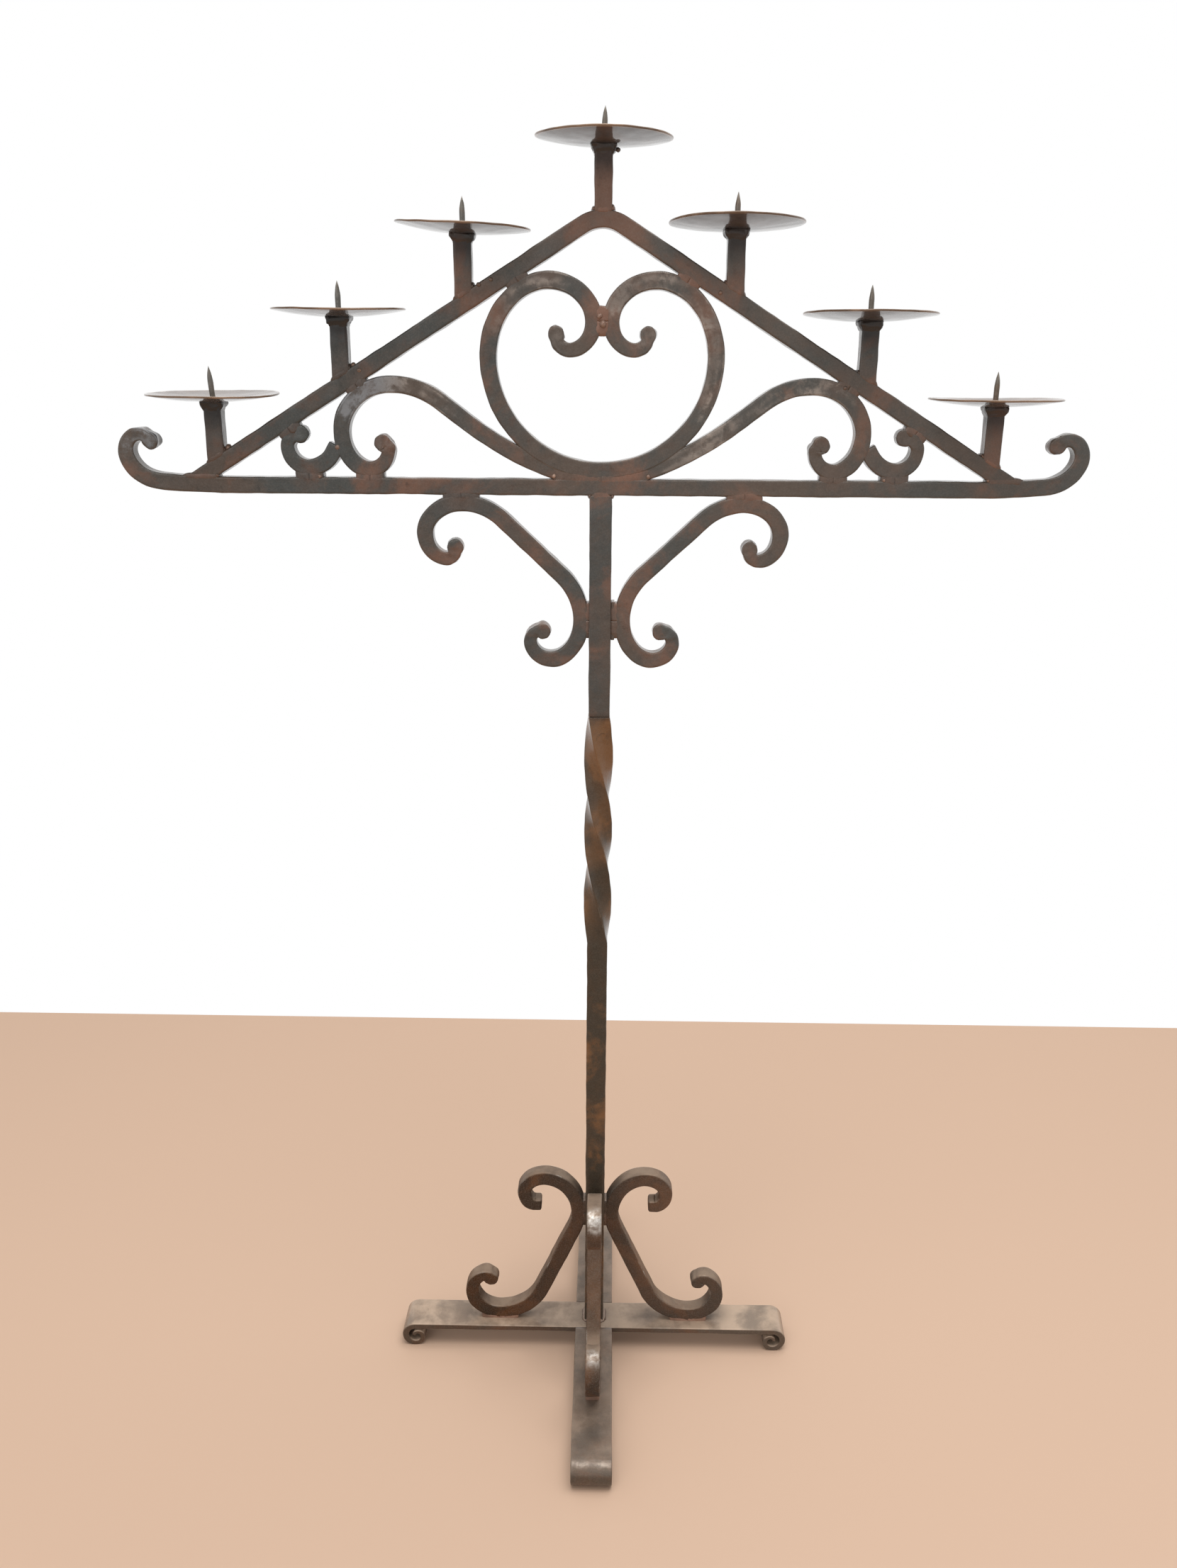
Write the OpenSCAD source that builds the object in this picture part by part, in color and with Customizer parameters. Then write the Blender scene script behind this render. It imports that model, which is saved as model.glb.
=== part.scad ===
// Floor candelabra of welded wrought iron: seven prickets stepped along a gable,
// a heart and side scrolls between the gable and a rail, and a part-twisted square
// post on a cross of flat feet. Millimetres, +Z up, X along the rail, front at -Y.
// The origin is on the floor under the middle of the post.

/* [Post] */
// Side of the square post
post_w = 25; // [20:0.5:32]
// Plain length of the lower post below the twist
plain_h = 569; // [300:1:800]
// Length of the twist
twist_h = 290; // [150:1:500]
// Plain length of the upper post, from the butt weld to the rail
upper_post_h = 253; // [215:1:400]

/* [Bar stock] */
// Side of the square bar of the frame, its scrolls and the brackets
bar_w = 18; // [14:0.5:20]
// Side of the square bar of the base scrolls
base_bar_w = 19; // [14:0.5:22]
// Side of the square stems under the pans
stem_w = 19; // [14:0.5:22]
// Thickness that a scroll end is drawn down to
curl_w = 13.5; // [10:0.5:14]
// Length over which a scroll end is drawn down
curl_taper = 60; // [40:1:90]
// Radius of the solid bud at a scroll end
bud_r = 9.3; // [7.5:0.1:10]

/* [Gable and rail] */
// Slope of the gable legs
gable_angle = 31.5; // [29:0.1:34]
// Bend radius at the middle of the bar, at the peak of the gable
gable_bend_r = 40; // [30:1:60]
// Gap between the gable and the scrolls under it, filled by weld
gable_gap = 1; // [0.5:0.1:3]
// Rail left outside the gable foot, up to its curled end
rail_overhang = 28; // [5:1:60]
// Radius at the middle of the bar where the rail starts to curl up
rail_curl_r = 52; // [45:1:70]

/* [Scrolls] */
// Radius of the heart at its bottom
heart_r = 130; // [122:0.5:140]
// Gap between the two lobes of the heart, filled by weld
heart_gap = 0.8; // [0.5:0.1:3]
// Radius of the arch of the side scrolls
arch_r = 66; // [60:0.5:70]
// Straight length below the arch of the side scrolls
arch_run = 36; // [26:1:46]
// Radius of the small scrolls at their bottom
small_r = 22.5; // [20:0.5:24]
// Gap between a small scroll and the rail, filled by weld
small_gap = 1.5; // [0.5:0.1:3]
// Radius of the shoulder of the rail brackets
bracket_r = 66; // [55:0.5:72]
// Straight length of the rail brackets
bracket_run = 91; // [70:1:110]
// Thickness of the packing plate between the right bracket and the post
spacer_t = 4; // [2:0.5:8]
// Height of the packing plate
spacer_h = 44; // [35:1:60]
// Radius of the lower bend of the base scrolls
base_r = 63; // [56:0.5:70]
// Straight length of the base scrolls
base_run = 108; // [90:1:130]

/* [Feet] */
// Width of the flat bar of the feet
foot_w = 50; // [40:1:64]
// Thickness of the flat bar of the feet
foot_t = 8; // [6:0.5:10]
// Radius at the middle of the flat bar where the roll starts
roll_r = 13.7; // [12.5:0.1:16]
// Foot left beyond the base scroll before the roll starts
foot_overhang = 69; // [40:1:110]
// Worn flat under each roll
foot_wear = 0.4; // [0.2:0.1:0.8]

/* [Prickets] */
// Height of a stem above the gable, at its middle
stem_h = 58; // [45:1:80]
// Height of the stem on the peak
peak_stem_h = 61; // [45:1:90]
// Diameter of a drip pan
pan_d = 143; // [110:1:160]
// Depth of a drip pan from its rim to its underside
pan_depth = 9; // [6:0.5:14]
// Thickness of the pan sheet
pan_t = 2; // [1.2:0.1:3]
// Diameter of a spike
spike_d = 6; // [4:0.5:8]
// Height of a spike above the stem
spike_h = 37; // [28:1:55]
// Height of the point of a spike
spike_point_h = 17; // [10:1:24]
// Diameter of the tang that holds a spike in its stem
tang_d = 4; // [2.5:0.5:4]
// Depth of the tang in the stem
tang_h = 15; // [8:1:25]
// Clearance between a pan and the tang and shoulder of its spike
spike_clear = 0.2; // [0.1:0.05:0.4]

/* [Welds] */
// Length of weld to each side of a scroll's seat on the rail
rail_weld = 14; // [8:1:16]
// Length of weld to each side of the heart's seat
heart_weld = 50; // [30:1:54]
// Length of weld to each side of a scroll's seat under the gable, and of the heart's lobes
gable_weld = 13; // [8:1:16]
// Length of weld to each side of a bracket's seats
bracket_weld = 20; // [12:1:22]
// Length of weld to each side of a base scroll's seat on its foot
base_weld = 26; // [16:1:28]
// Leg of the corner welds round the post
corner_weld = 4.5; // [3:0.5:6]
// How far the weld under a pan stands out from the stem
collar_out = 4.5; // [2:0.5:6]
// Height of the weld under a pan
collar_h = 9; // [5:0.5:12]

/* [Hidden] */

// Finish colours
iron = "#4a443e";
worn_iron = "#6a655e";
rusty_iron = "#5f4a3c";
weld_iron = "#7a6a60";

// Largest turn of a bent bar in one step, and of the round of a bud, in degrees
facet = 5;
bud_facet = 12;
// Turn of the twist, and the steps it is made in
twist_turn = 270;
twist_steps = 45;

// Bends of each scroll, as turn in degrees and the radius at its start and end. The
// radii are shares of the radius that names the scroll.
ring_share = [[90, 1, 0.845], [90, 0.75, 0.355]];
lobe_share = [[90, 1, 0.53], [90, 0.58, 0.35], [95, 0.255, 0.24]];
rail_rise_share = [[5, 17.3, 17.3]];
rail_curl_share = [[85, 1, 0.365], [90, 0.44, 0.23], [60, 0.27, 0.25]];
arch_share = [[90, 0.265, 0.77], [90, 0.655, 0.985], [37, 1.31, 1.31]];
arch_tail_share = [[-17, 5.3, 5.3]];
arch_curl_share = [[-90, 0.326, 0.326], [-85, 0.106, 0.106]];
small_share = [[90, 1, 1], [90, 0.5, 0.75]];
small_tail_share = [[-60, 1.38, 1.38]];
small_tail_run_share = 0.4;
knee_share = [[43, 1, 1]];
bracket_curl_share = [[47, 1.06, 1.06], [90, 0.93, 0.27], [90, 0.45, 0.23], [105, 0.21, 0.15]];
shoulder_curl_share = [[-90, 0.8, 0.34], [-90, 0.53, 0.25], [-105, 0.18, 0.135]];
base_knee_share = [[-66, 1, 1]];
base_top_share = [[-24, 1.05, 1.05], [-90, 0.99, 0.555], [-90, 0.525, 0.26], [-90, 0.43, 0.08]];
base_tip_share = 0.11;
base_curl_share = [[90, 0.67, 0.467], [90, 0.49, 0.206], [85, 0.11, 0.09]];
roll_share = [[-180, 1, 0.95], [-160, 0.82, 0.5], [-100, 0.42, 0.36]];
// Thickness at the inner end of a foot roll, as a share of the flat bar
roll_tip_share = 0.55;
// Thickness left at the blunt upper end of a base scroll, as a share of the bar
base_tip_w_share = 0.84;

// Each stem's place off an even pitch, and each pan's lean to its right and to the
// front in degrees, as the hand-made piece has them
stem_shift_share = [0.005, 0.01, -0.04, 0, -0.015, 0.01, 0.005];
pan_lean = [0, 0, 3, 0.8, 0, 0, 0];
pan_nod = [2, 1.2, 2, 1, -1.5, -1, 0];

// Steps of a bent bar: the turn in degrees and the chord of each one
function bends(shares, size) = [
    for (s = shares)
    let (n = max(1, ceil(abs(s[0]) / facet)))
    for (i = [0:n - 1])
    let (r = size * (s[1] + (s[2] - s[1]) * (i + 0.5) / n))
    [s[0] / n, 2 * r * sin(abs(s[0]) / n / 2)]
];
function straight(length) = [[0, length]];

// Middle line of a bent bar from a start and a heading: x, z and heading at each step
function trace(steps, start, heading) = [
    for (i = 0, p = start, h = heading; i <= len(steps);
         p = i < len(steps) ? p + steps[i][1] * unit(h + steps[i][0] / 2) : p,
         h = i < len(steps) ? h + steps[i][0] : h,
         i = i + 1)
    [p[0], p[1], h]
];
function unit(angle) = [cos(angle), sin(angle)];
function moved(line, by) = [for (p = line) [p[0] + by[0], p[1] + by[1], p[2]]];
function turned_back(line) = [for (i = [len(line) - 1:-1:1]) [line[i][0], line[i][1], line[i][2] + 180]];
function mirrored_back(line) = [for (i = [len(line) - 1:-1:1]) [-line[i][0], line[i][1], -line[i][2]]];
function place(p) = [p[0], p[1]];
function last(line) = line[len(line) - 1];

// Distance from the start of the line to each of its points
function travelled(line) = [
    for (i = 0, d = 0; i < len(line);
         i = i + 1,
         d = i < len(line) ? d + norm(place(line[i]) - place(line[i - 1])) : d)
    d
];
// Width of the bar at each point, drawn down at its start and its end
function widths(line, w, start_w, end_w, taper) =
    let (d = travelled(line), total = last(d))
    [for (s = d) min(w,
        start_w + (w - start_w) * s / taper,
        end_w + (w - end_w) * (total - s) / taper)];
function flank(line, ws, side) = [
    for (i = [0:len(line) - 1])
    place(line[i]) + side * ws[i] / 2 * unit(line[i][2] + 90)
];
function reversed(list) = [for (i = [len(list) - 1:-1:0]) list[i]];
function outside(points, centre, r) = [for (p = points) if (norm(p - centre) > r) p];
function bearing(from, to) = atan2(to[1] - from[1], to[0] - from[0]);
function whole_turn(angle) = angle - 360 * floor(angle / 360);
// Round end of a bar, clockwise about a centre between two points of its flanks
function round_end(centre, r, from, to) =
    let (start = bearing(centre, from),
         turn = whole_turn(start - bearing(centre, to)),
         n = ceil(turn / bud_facet))
    [for (i = [1:n - 1]) centre + r * unit(start - turn * i / n)];
// Outline of a bar, with a round bud at each end where the radius for it is over 0
function outline(line, w, start_w, end_w, taper, start_bud, end_bud) =
    let (ws = widths(line, w, start_w, end_w, taper),
         start = place(line[0]),
         end = place(last(line)),
         left = outside(outside(flank(line, ws, 1), start, start_bud), end, end_bud),
         right = outside(outside(flank(line, ws, -1), start, start_bud), end, end_bud))
    concat(
        left,
        end_bud > 0 ? round_end(end, end_bud, last(left), last(right)) : [],
        reversed(right),
        start_bud > 0 ? round_end(start, start_bud, right[0], left[0]) : []);

// How far a set of points reaches along a direction, and the point that does
function reach(points, way) = max([for (p = points) p * way]);
function contact(points, way) = [for (p = points) if (p * way == reach(points, way)) p][0];

// Feet: the bar lies on its rolls, which are worn flat where they stand
function foot_line(run) = trace(concat(straight(run), bends(roll_share, roll_r)), [0, 0], 0);
roll_tip_w = roll_tip_share * foot_t;
function foot_outline(line) = outline(line, foot_t, foot_t, roll_tip_w, roll_r * PI, 0, 0);
foot_top = reach(foot_outline(foot_line(roll_r)), [0, -1]) - foot_wear + foot_t / 2;

// Base scroll on the right: its lower bend sits on the foot, its side on the post
base_up = trace(
    concat(bends(base_knee_share, base_r), straight(base_run),
           bends(base_top_share, base_r), straight(base_tip_share * base_r)),
    [0, 0], 180);
base_out = trace(bends(base_curl_share, base_r), [0, 0], 0);
base_rough = concat(turned_back(base_up), base_out);
base_tip_w = base_tip_w_share * base_bar_w;
base_rough_outline = outline(base_rough, base_bar_w, base_tip_w, curl_w, curl_taper, 0, bud_r);
base_x = post_w / 2 + reach(base_rough_outline, [-1, 0]);
base_line = moved(base_rough, [base_x, foot_top + base_bar_w / 2]);
base_outline = outline(base_line, base_bar_w, base_tip_w, curl_w, curl_taper, 0, bud_r);
base_post_seat = contact(base_outline, [-1, 0]);
foot_run = reach(base_outline, [1, 0]) + foot_overhang;

// Heights of the post
twist_z = foot_top + plain_h;
joint_z = twist_z + twist_h;
rail_z = joint_z + upper_post_h;
rail_top = rail_z + bar_w;

// Heart, right half: the lobe is as large as makes the two halves meet in the middle
ring_line = trace(bends(ring_share, heart_r), [0, rail_top + bar_w / 2], 0);
unit_lobe = trace(bends(lobe_share, 1), [0, 0], 180);
lobe_r = (last(ring_line)[0] - (bar_w + heart_gap) / 2) / reach([for (p = unit_lobe) place(p)], [-1, 0]);
lobe_line = trace(bends(lobe_share, lobe_r), place(last(ring_line)), 180);
half_heart = concat([for (i = [0:len(ring_line) - 2]) ring_line[i]], lobe_line);
heart_line = concat(mirrored_back(half_heart), half_heart);
ring_closed = concat(mirrored_back(ring_line), ring_line);
heart_outline = outline(heart_line, bar_w, curl_w, curl_w, curl_taper, bud_r, bud_r);
lobe_meet = contact([for (p = lobe_line) place(p)], [-1, 0]);

// Gable: its legs lie on the shoulders of the heart
gable_way = [sin(gable_angle), cos(gable_angle)];
gable_under = reach(heart_outline, gable_way) + gable_gap;
heart_seat = contact(heart_outline, gable_way);
gable_mid = gable_under + bar_w / 2;
gable_centre_z = (gable_mid - gable_bend_r) / cos(gable_angle);
gable_run = (gable_centre_z + gable_bend_r - rail_z) / sin(gable_angle);
half_gable = trace(
    concat(bends([[-gable_angle, 1, 1]], gable_bend_r), straight(gable_run)),
    [0, gable_centre_z + gable_bend_r], 0);
gable_line = concat(mirrored_back(half_gable), half_gable);
gable_outline = outline(gable_line, bar_w, bar_w, bar_w, bar_w, 0, 0);
gable_foot_in = (gable_under - rail_top * cos(gable_angle)) / sin(gable_angle);
gable_foot_out = gable_foot_in + bar_w / sin(gable_angle);

// Rail, right half
rail_rise = bends(rail_rise_share, rail_curl_r);
rail_rise_reach = last(trace(rail_rise, [0, 0], 0))[0];
half_rail = trace(
    concat(straight(gable_foot_out + rail_overhang - rail_rise_reach), rail_rise,
           bends(rail_curl_share, rail_curl_r)),
    [0, rail_z + bar_w / 2], 0);
rail_line = concat(mirrored_back(half_rail), half_rail);
rail_outline = outline(rail_line, bar_w, curl_w, curl_w, curl_taper, bud_r, bud_r);

// Side scroll on the right: it stands on the rail and slides out until it meets the gable
arch_up = trace(
    concat(bends(arch_share, arch_r), straight(arch_run), bends(arch_tail_share, arch_r)),
    [0, rail_top + bar_w / 2], 0);
arch_in = trace(bends(arch_curl_share, arch_r), [0, rail_top + bar_w / 2], 180);
side_rough = concat(turned_back(arch_in), arch_up);
side_rough_outline = outline(side_rough, bar_w, curl_w, bar_w, curl_taper, bud_r, 0);
side_x = (gable_under - gable_gap - reach(side_rough_outline, gable_way)) / sin(gable_angle);
side_line = moved(side_rough, [side_x, 0]);
side_outline = outline(side_line, bar_w, curl_w, bar_w, curl_taper, bud_r, 0);
side_seat = contact(side_outline, gable_way);

// Small scroll on the right: it stands on the rail and meets the gable
small_z = rail_top + small_gap + bar_w / 2;
small_up = trace(bends(small_share, small_r), [0, small_z], 0);
small_in = trace(
    concat(bends(small_tail_share, small_r), straight(small_tail_run_share * small_r)),
    [0, small_z], 180);
small_rough = concat(turned_back(small_in), small_up);
small_rough_outline = outline(small_rough, bar_w, bar_w, curl_w, small_r * PI, 0, bud_r);
small_x = (gable_under - gable_gap - reach(small_rough_outline, gable_way)) / sin(gable_angle);
small_line = moved(small_rough, [small_x, 0]);
small_outline = outline(small_line, bar_w, bar_w, curl_w, small_r * PI, 0, bud_r);
small_seat = contact(small_outline, gable_way);

// Bracket on the right: its shoulder is under the rail and its knee is on the post side
bracket_in = trace(
    concat(bends(knee_share, bracket_r), straight(bracket_run),
           bends(bracket_curl_share, bracket_r)),
    [0, 0], 180);
bracket_out = trace(bends(shoulder_curl_share, bracket_r), [0, 0], 0);
bracket_rough = concat(turned_back(bracket_in), bracket_out);
bracket_rough_outline = outline(bracket_rough, bar_w, curl_w, curl_w, curl_taper, bud_r, bud_r);
bracket_x = post_w / 2 + reach(bracket_rough_outline, [-1, 0]);
bracket_line = moved(bracket_rough, [bracket_x, rail_z - bar_w / 2]);
bracket_outline = outline(bracket_line, bar_w, curl_w, curl_w, curl_taper, bud_r, bud_r);
bracket_seat = contact(bracket_outline, [-1, 0]);

// Prickets: the outer stems stand over the gable feet, the others between at one pitch
stem_pitch = gable_foot_in / 3;
gable_peak_z = gable_centre_z + gable_bend_r;
function stem_x(i) = (i - 4 + stem_shift_share[i - 1]) * stem_pitch;
function gable_mid_z(x) = min(gable_peak_z, (gable_mid - abs(x) * sin(gable_angle)) / cos(gable_angle));
function gable_top_z(x) = x == 0 ? gable_peak_z + bar_w / 2 : gable_mid_z(x) + bar_w / 2 / cos(gable_angle);
function gable_fall(x) = x == 0 ? 0 : sign(x) * gable_angle;
function stem_top(i) = gable_top_z(stem_x(i)) + (i == 4 ? peak_stem_h : stem_h);
// Radius of the dished sheet, outside
dish_sag = pan_depth - pan_t;
dish_r = (pow(pan_d / 2, 2) + pow(dish_sag, 2)) / (2 * dish_sag);
// Height of a spike's shoulder above its stem, just clear of the tilted pan
function tilt(i) = norm([pan_lean[i - 1], pan_nod[i - 1]]);
function shoulder_z(i) = pan_t + spike_d / 2 * tan(tilt(i)) + spike_clear;
// Radius of the curve of a spike's point, and the steps it is made in
ogive_r = (pow(spike_point_h, 2) + pow(spike_d / 2, 2)) / spike_d;
point_steps = 6;

// Turns a drawing in x and z into a bar that lies midway between front and back
module upright(depth) {
    translate([0, depth / 2, 0]) rotate([90, 0, 0]) linear_extrude(depth) children();
}

module above_rail() {
    translate([-2 * gable_foot_out, rail_top]) square([4 * gable_foot_out, 2 * gable_peak_z]);
}

// Foot bars: one lies right across, and an arm butts against it on each side
module foot_piece(outline) {
    color(worn_iron) upright(foot_w) intersection() {
        translate([0, foot_top - foot_t / 2]) polygon(outline);
        translate([-2 * foot_run, 0]) square([4 * foot_run, 2 * foot_top]);
    }
}

module foot_bar() {
    half = foot_line(foot_run);
    line = concat(mirrored_back(half), half);
    foot_piece(outline(line, foot_t, roll_tip_w, roll_tip_w, roll_r * PI, 0, 0));
}

module foot_arm() {
    foot_piece(foot_outline(moved(foot_line(foot_run - foot_w / 2), [foot_w / 2, 0])));
}

module front_foot() {
    rotate([0, 0, -90]) foot_arm();
}

module rear_foot() {
    rotate([0, 0, 90]) foot_arm();
}

// Post: the lower part is square, then twists, and is butt welded to the upper part
function square_ring(z, turn) = [for (k = [0:3]) let (p = post_w / sqrt(2) * unit(45 + 90 * k - turn)) [p[0], p[1], z]];

module lower_post() {
    rings = concat([square_ring(foot_top, 0)],
        [for (i = [0:twist_steps]) square_ring(twist_z + twist_h * i / twist_steps, twist_turn * i / twist_steps)]);
    n = len(rings);
    sides = [for (r = [0:n - 2], k = [0:3]) let (a = 4 * r + k, b = 4 * r + (k + 1) % 4) each [[a, a + 4, b], [b, a + 4, b + 4]]];
    ends = [[0, 1, 2, 3], [4 * n - 1, 4 * n - 2, 4 * n - 3, 4 * n - 4]];
    color(iron) polyhedron([for (ring = rings) each ring], concat(sides, ends));
}

module upper_post() {
    color(iron) translate([-post_w / 2, -post_w / 2, joint_z]) cube([post_w, post_w, upper_post_h]);
}

// Base scrolls, one against each side of the post
module base_scroll(turn) {
    color(iron) rotate([0, 0, turn]) upright(base_bar_w) polygon(base_outline);
}

// Frame above the post
module rail() {
    color(iron) upright(bar_w) polygon(rail_outline);
}

module gable() {
    color(iron) upright(bar_w) intersection() {
        difference() {
            polygon(gable_outline);
            polygon(rail_outline);
        }
        above_rail();
    }
}

module heart_scroll() {
    color(rusty_iron) upright(bar_w) polygon(heart_outline);
}

// The tail of a side scroll ends on the heart and never inside its ring
module side_scroll() {
    color(iron) upright(bar_w) intersection() {
        difference() {
            polygon(side_outline);
            polygon(heart_outline);
            polygon([for (p = ring_closed) place(p)]);
        }
        above_rail();
    }
}

module small_scroll() {
    color(iron) upright(bar_w) difference() {
        polygon(small_outline);
        polygon(side_outline);
    }
}

module bracket() {
    color(iron) upright(bar_w) polygon(bracket_outline);
}

module bracket_spacer() {
    color(iron) upright(bar_w) translate([post_w / 2, bracket_seat[1] - spacer_h / 2]) square([spacer_t, spacer_h]);
}

// Prickets
module leaning(i) {
    translate([stem_x(i), 0, stem_top(i)]) rotate([pan_nod[i - 1], pan_lean[i - 1], 0]) children();
}

module stem(i) {
    x = stem_x(i);
    color(iron) difference() {
        upright(stem_w) difference() {
            translate([x - stem_w / 2, gable_mid_z(x)])
                square([stem_w, stem_top(i) + stem_w / 2 - gable_mid_z(x)]);
            polygon(gable_outline);
        }
        leaning(i) translate([-stem_w, -stem_w, 0]) cube([2 * stem_w, 2 * stem_w, stem_w]);
        translate([x, 0, stem_top(i) - tang_h]) cylinder(h = 2 * tang_h, d = tang_d, $fn = 32);
    }
}

module pan(i) {
    hole_r = tang_d / 2 + spike_clear;
    color(rusty_iron) leaning(i) translate([0, 0, dish_r]) rotate_extrude($fn = 96) intersection() {
        difference() {
            circle(dish_r, $fn = 360);
            circle(dish_r - pan_t, $fn = 360);
        }
        translate([hole_r, -dish_r]) square([pan_d / 2 - hole_r, 2 * pan_depth]);
    }
}

// Half outline of a spike: its tang, its shoulder, its shank and its curved point
function spike_profile(shank_z) = concat(
    [[0, -tang_h], [tang_d / 2, -tang_h], [tang_d / 2, shank_z], [spike_d / 2, shank_z]],
    [for (k = [0:point_steps - 1]) let (z = spike_point_h * k / point_steps)
        [spike_d / 2 - ogive_r + sqrt(pow(ogive_r, 2) - pow(z, 2)), spike_h - spike_point_h + z]],
    [[0, spike_h]]);

module spike(i) {
    color(worn_iron) translate([stem_x(i), 0, stem_top(i)])
        rotate_extrude($fn = 32) polygon(spike_profile(shoulder_z(i)));
}

// Welds. Each fills the wedge between a curved bar and the flat that it is seated on.
// Share of the bar's width that a weld reaches out from the flat
weld_reach_share = 0.55;
// Share of its length that a weld leaves free at the line of contact
weld_free_share = 0.25;

module weld_wedges(seat, turn, length, depth) {
    free = weld_free_share * length;
    translate(seat) rotate(turn) for (side = [0, 1]) mirror([side, 0])
        translate([free, 0]) square([length - free, depth]);
}

module corner_fillets(w, z) {
    for (side = [0, 1]) mirror([side, 0])
        translate([w / 2, z]) polygon([[0, 0], [corner_weld, 0], [0, corner_weld]]);
}

module base_welds() {
    upright(base_bar_w) difference() {
        union() {
            weld_wedges([base_x, foot_top], 0, base_weld, weld_reach_share * base_bar_w);
            weld_wedges([post_w / 2, base_post_seat[1]], -90, bracket_weld, weld_reach_share * base_bar_w);
        }
        polygon(base_outline);
    }
}

module welds_base() {
    color(weld_iron) {
        for (turn = [0:90:270]) rotate([0, 0, turn]) base_welds();
        for (turn = [0, 90]) rotate([0, 0, turn]) upright(post_w) corner_fillets(post_w, foot_top);
    }
}

module bracket_welds(x, seat_length) {
    upright(bar_w) difference() {
        union() {
            weld_wedges([bracket_x, rail_z], 180, bracket_weld, weld_reach_share * bar_w);
            weld_wedges([x, bracket_seat[1]], -90, seat_length, weld_reach_share * bar_w);
        }
        polygon(bracket_outline);
    }
}

module welds_brackets() {
    color(weld_iron) {
        mirror([1, 0, 0]) bracket_welds(post_w / 2, bracket_weld);
        translate([spacer_t, 0, 0]) bracket_welds(post_w / 2, spacer_h / 2);
        translate([0, 0, 2 * rail_z]) mirror([0, 0, 1]) upright(bar_w) corner_fillets(post_w, rail_z);
    }
}

module rail_welds() {
    difference() {
        union() {
            weld_wedges([0, rail_top], 0, heart_weld, weld_reach_share * bar_w);
            weld_wedges([side_x, rail_top], 0, rail_weld, weld_reach_share * bar_w);
            translate([small_x - rail_weld, rail_top]) square([2 * rail_weld, bar_w / 2]);
        }
        polygon(heart_outline);
        polygon(side_outline);
        mirror([1, 0]) polygon(side_outline);
        polygon(small_outline);
    }
}

module welds_rail() {
    color(weld_iron) upright(bar_w) {
        rail_welds();
        mirror([1, 0]) rail_welds();
    }
}

module gable_welds() {
    difference() {
        for (seat = [heart_seat, side_seat, small_seat])
            weld_wedges(
                seat + gable_gap * gable_way, 180 - gable_angle, gable_weld,
                gable_gap + weld_reach_share * bar_w);
        polygon(heart_outline);
        polygon(side_outline);
        polygon(small_outline);
    }
}

module lobe_weld() {
    difference() {
        translate([-bar_w / 4, lobe_meet[1] - gable_weld]) square([bar_w / 2, 2 * gable_weld]);
        polygon(heart_outline);
    }
}

module welds_gable() {
    color(weld_iron) upright(bar_w) {
        gable_welds();
        mirror([1, 0]) gable_welds();
        lobe_weld();
    }
}

// Share of its height where the weld under a pan is straight, and share of its reach
// that its lower edge already stands out
collar_lip_share = 0.35;
collar_foot_share = 0.25;

module collar_profile() {
    half = stem_w / 2;
    right = [
        [half + collar_foot_share * collar_out, -collar_h],
        [half + collar_out, -collar_lip_share * collar_h],
        [half + collar_out, 0]
    ];
    polygon(concat(right, [for (p = reversed(right)) [-p[0], p[1]]]));
}

module welds_pans() {
    color(weld_iron) for (i = [1:7]) difference() {
        leaning(i) intersection() {
            upright(3 * stem_w) collar_profile();
            rotate([0, 0, 90]) upright(3 * stem_w) collar_profile();
        }
        translate([stem_x(i) - stem_w / 2, -stem_w / 2, stem_top(i) - stem_w]) cube([stem_w, stem_w, 2 * stem_w]);
    }
}

// Welds in the corners between a stem and the top of the gable
module stem_fillet(x, side) {
    corner = x + side * stem_w / 2;
    fall = gable_fall(x);
    translate([corner, gable_top_z(x) - side * stem_w / 2 * tan(fall)]) polygon([
        [0, -corner_weld], [0, corner_weld],
        [side * corner_weld * cos(fall), -corner_weld * sin(fall) * side],
        [side * corner_weld * cos(fall), -corner_weld * sin(fall) * side - corner_weld]
    ]);
}

module welds_stems() {
    color(weld_iron) upright(stem_w) difference() {
        for (i = [1:7], side = [-1, 1]) stem_fillet(stem_x(i), side);
        polygon(gable_outline);
    }
}

foot_bar();
front_foot();
rear_foot();
lower_post();
upper_post();
base_scroll(0);  // base_scroll_right
base_scroll(90);  // base_scroll_rear
base_scroll(180);  // base_scroll_left
base_scroll(270);  // base_scroll_front
rail();
gable();
heart_scroll();
mirror([1, 0, 0]) side_scroll();  // side_scroll_left
side_scroll();  // side_scroll_right
mirror([1, 0, 0]) small_scroll();  // small_scroll_left
small_scroll();  // small_scroll_right
mirror([1, 0, 0]) bracket();  // bracket_left
translate([spacer_t, 0, 0]) bracket();  // bracket_right
bracket_spacer();
for (i = [1:7]) {
    stem(i);
    pan(i);
    spike(i);
}
welds_base();
welds_brackets();
welds_rail();
welds_gable();
welds_stems();
welds_pans();
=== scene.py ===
"""Looks of the floor candelabra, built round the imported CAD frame.

The shape functions work in millimetres and the meshes are in metres. +Z is up, X runs
along the rail and the front is at -Y. A line is a bar's middle line in the XZ plane:
rows of x, z and heading in degrees. A bar is a line with its reach to the left and to
the right, how much less deep it is, and how much of a knob it is.
"""

import math
from collections import namedtuple

import bmesh
import bpy
import numpy as np
from mathutils import Matrix, Vector, noise


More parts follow.
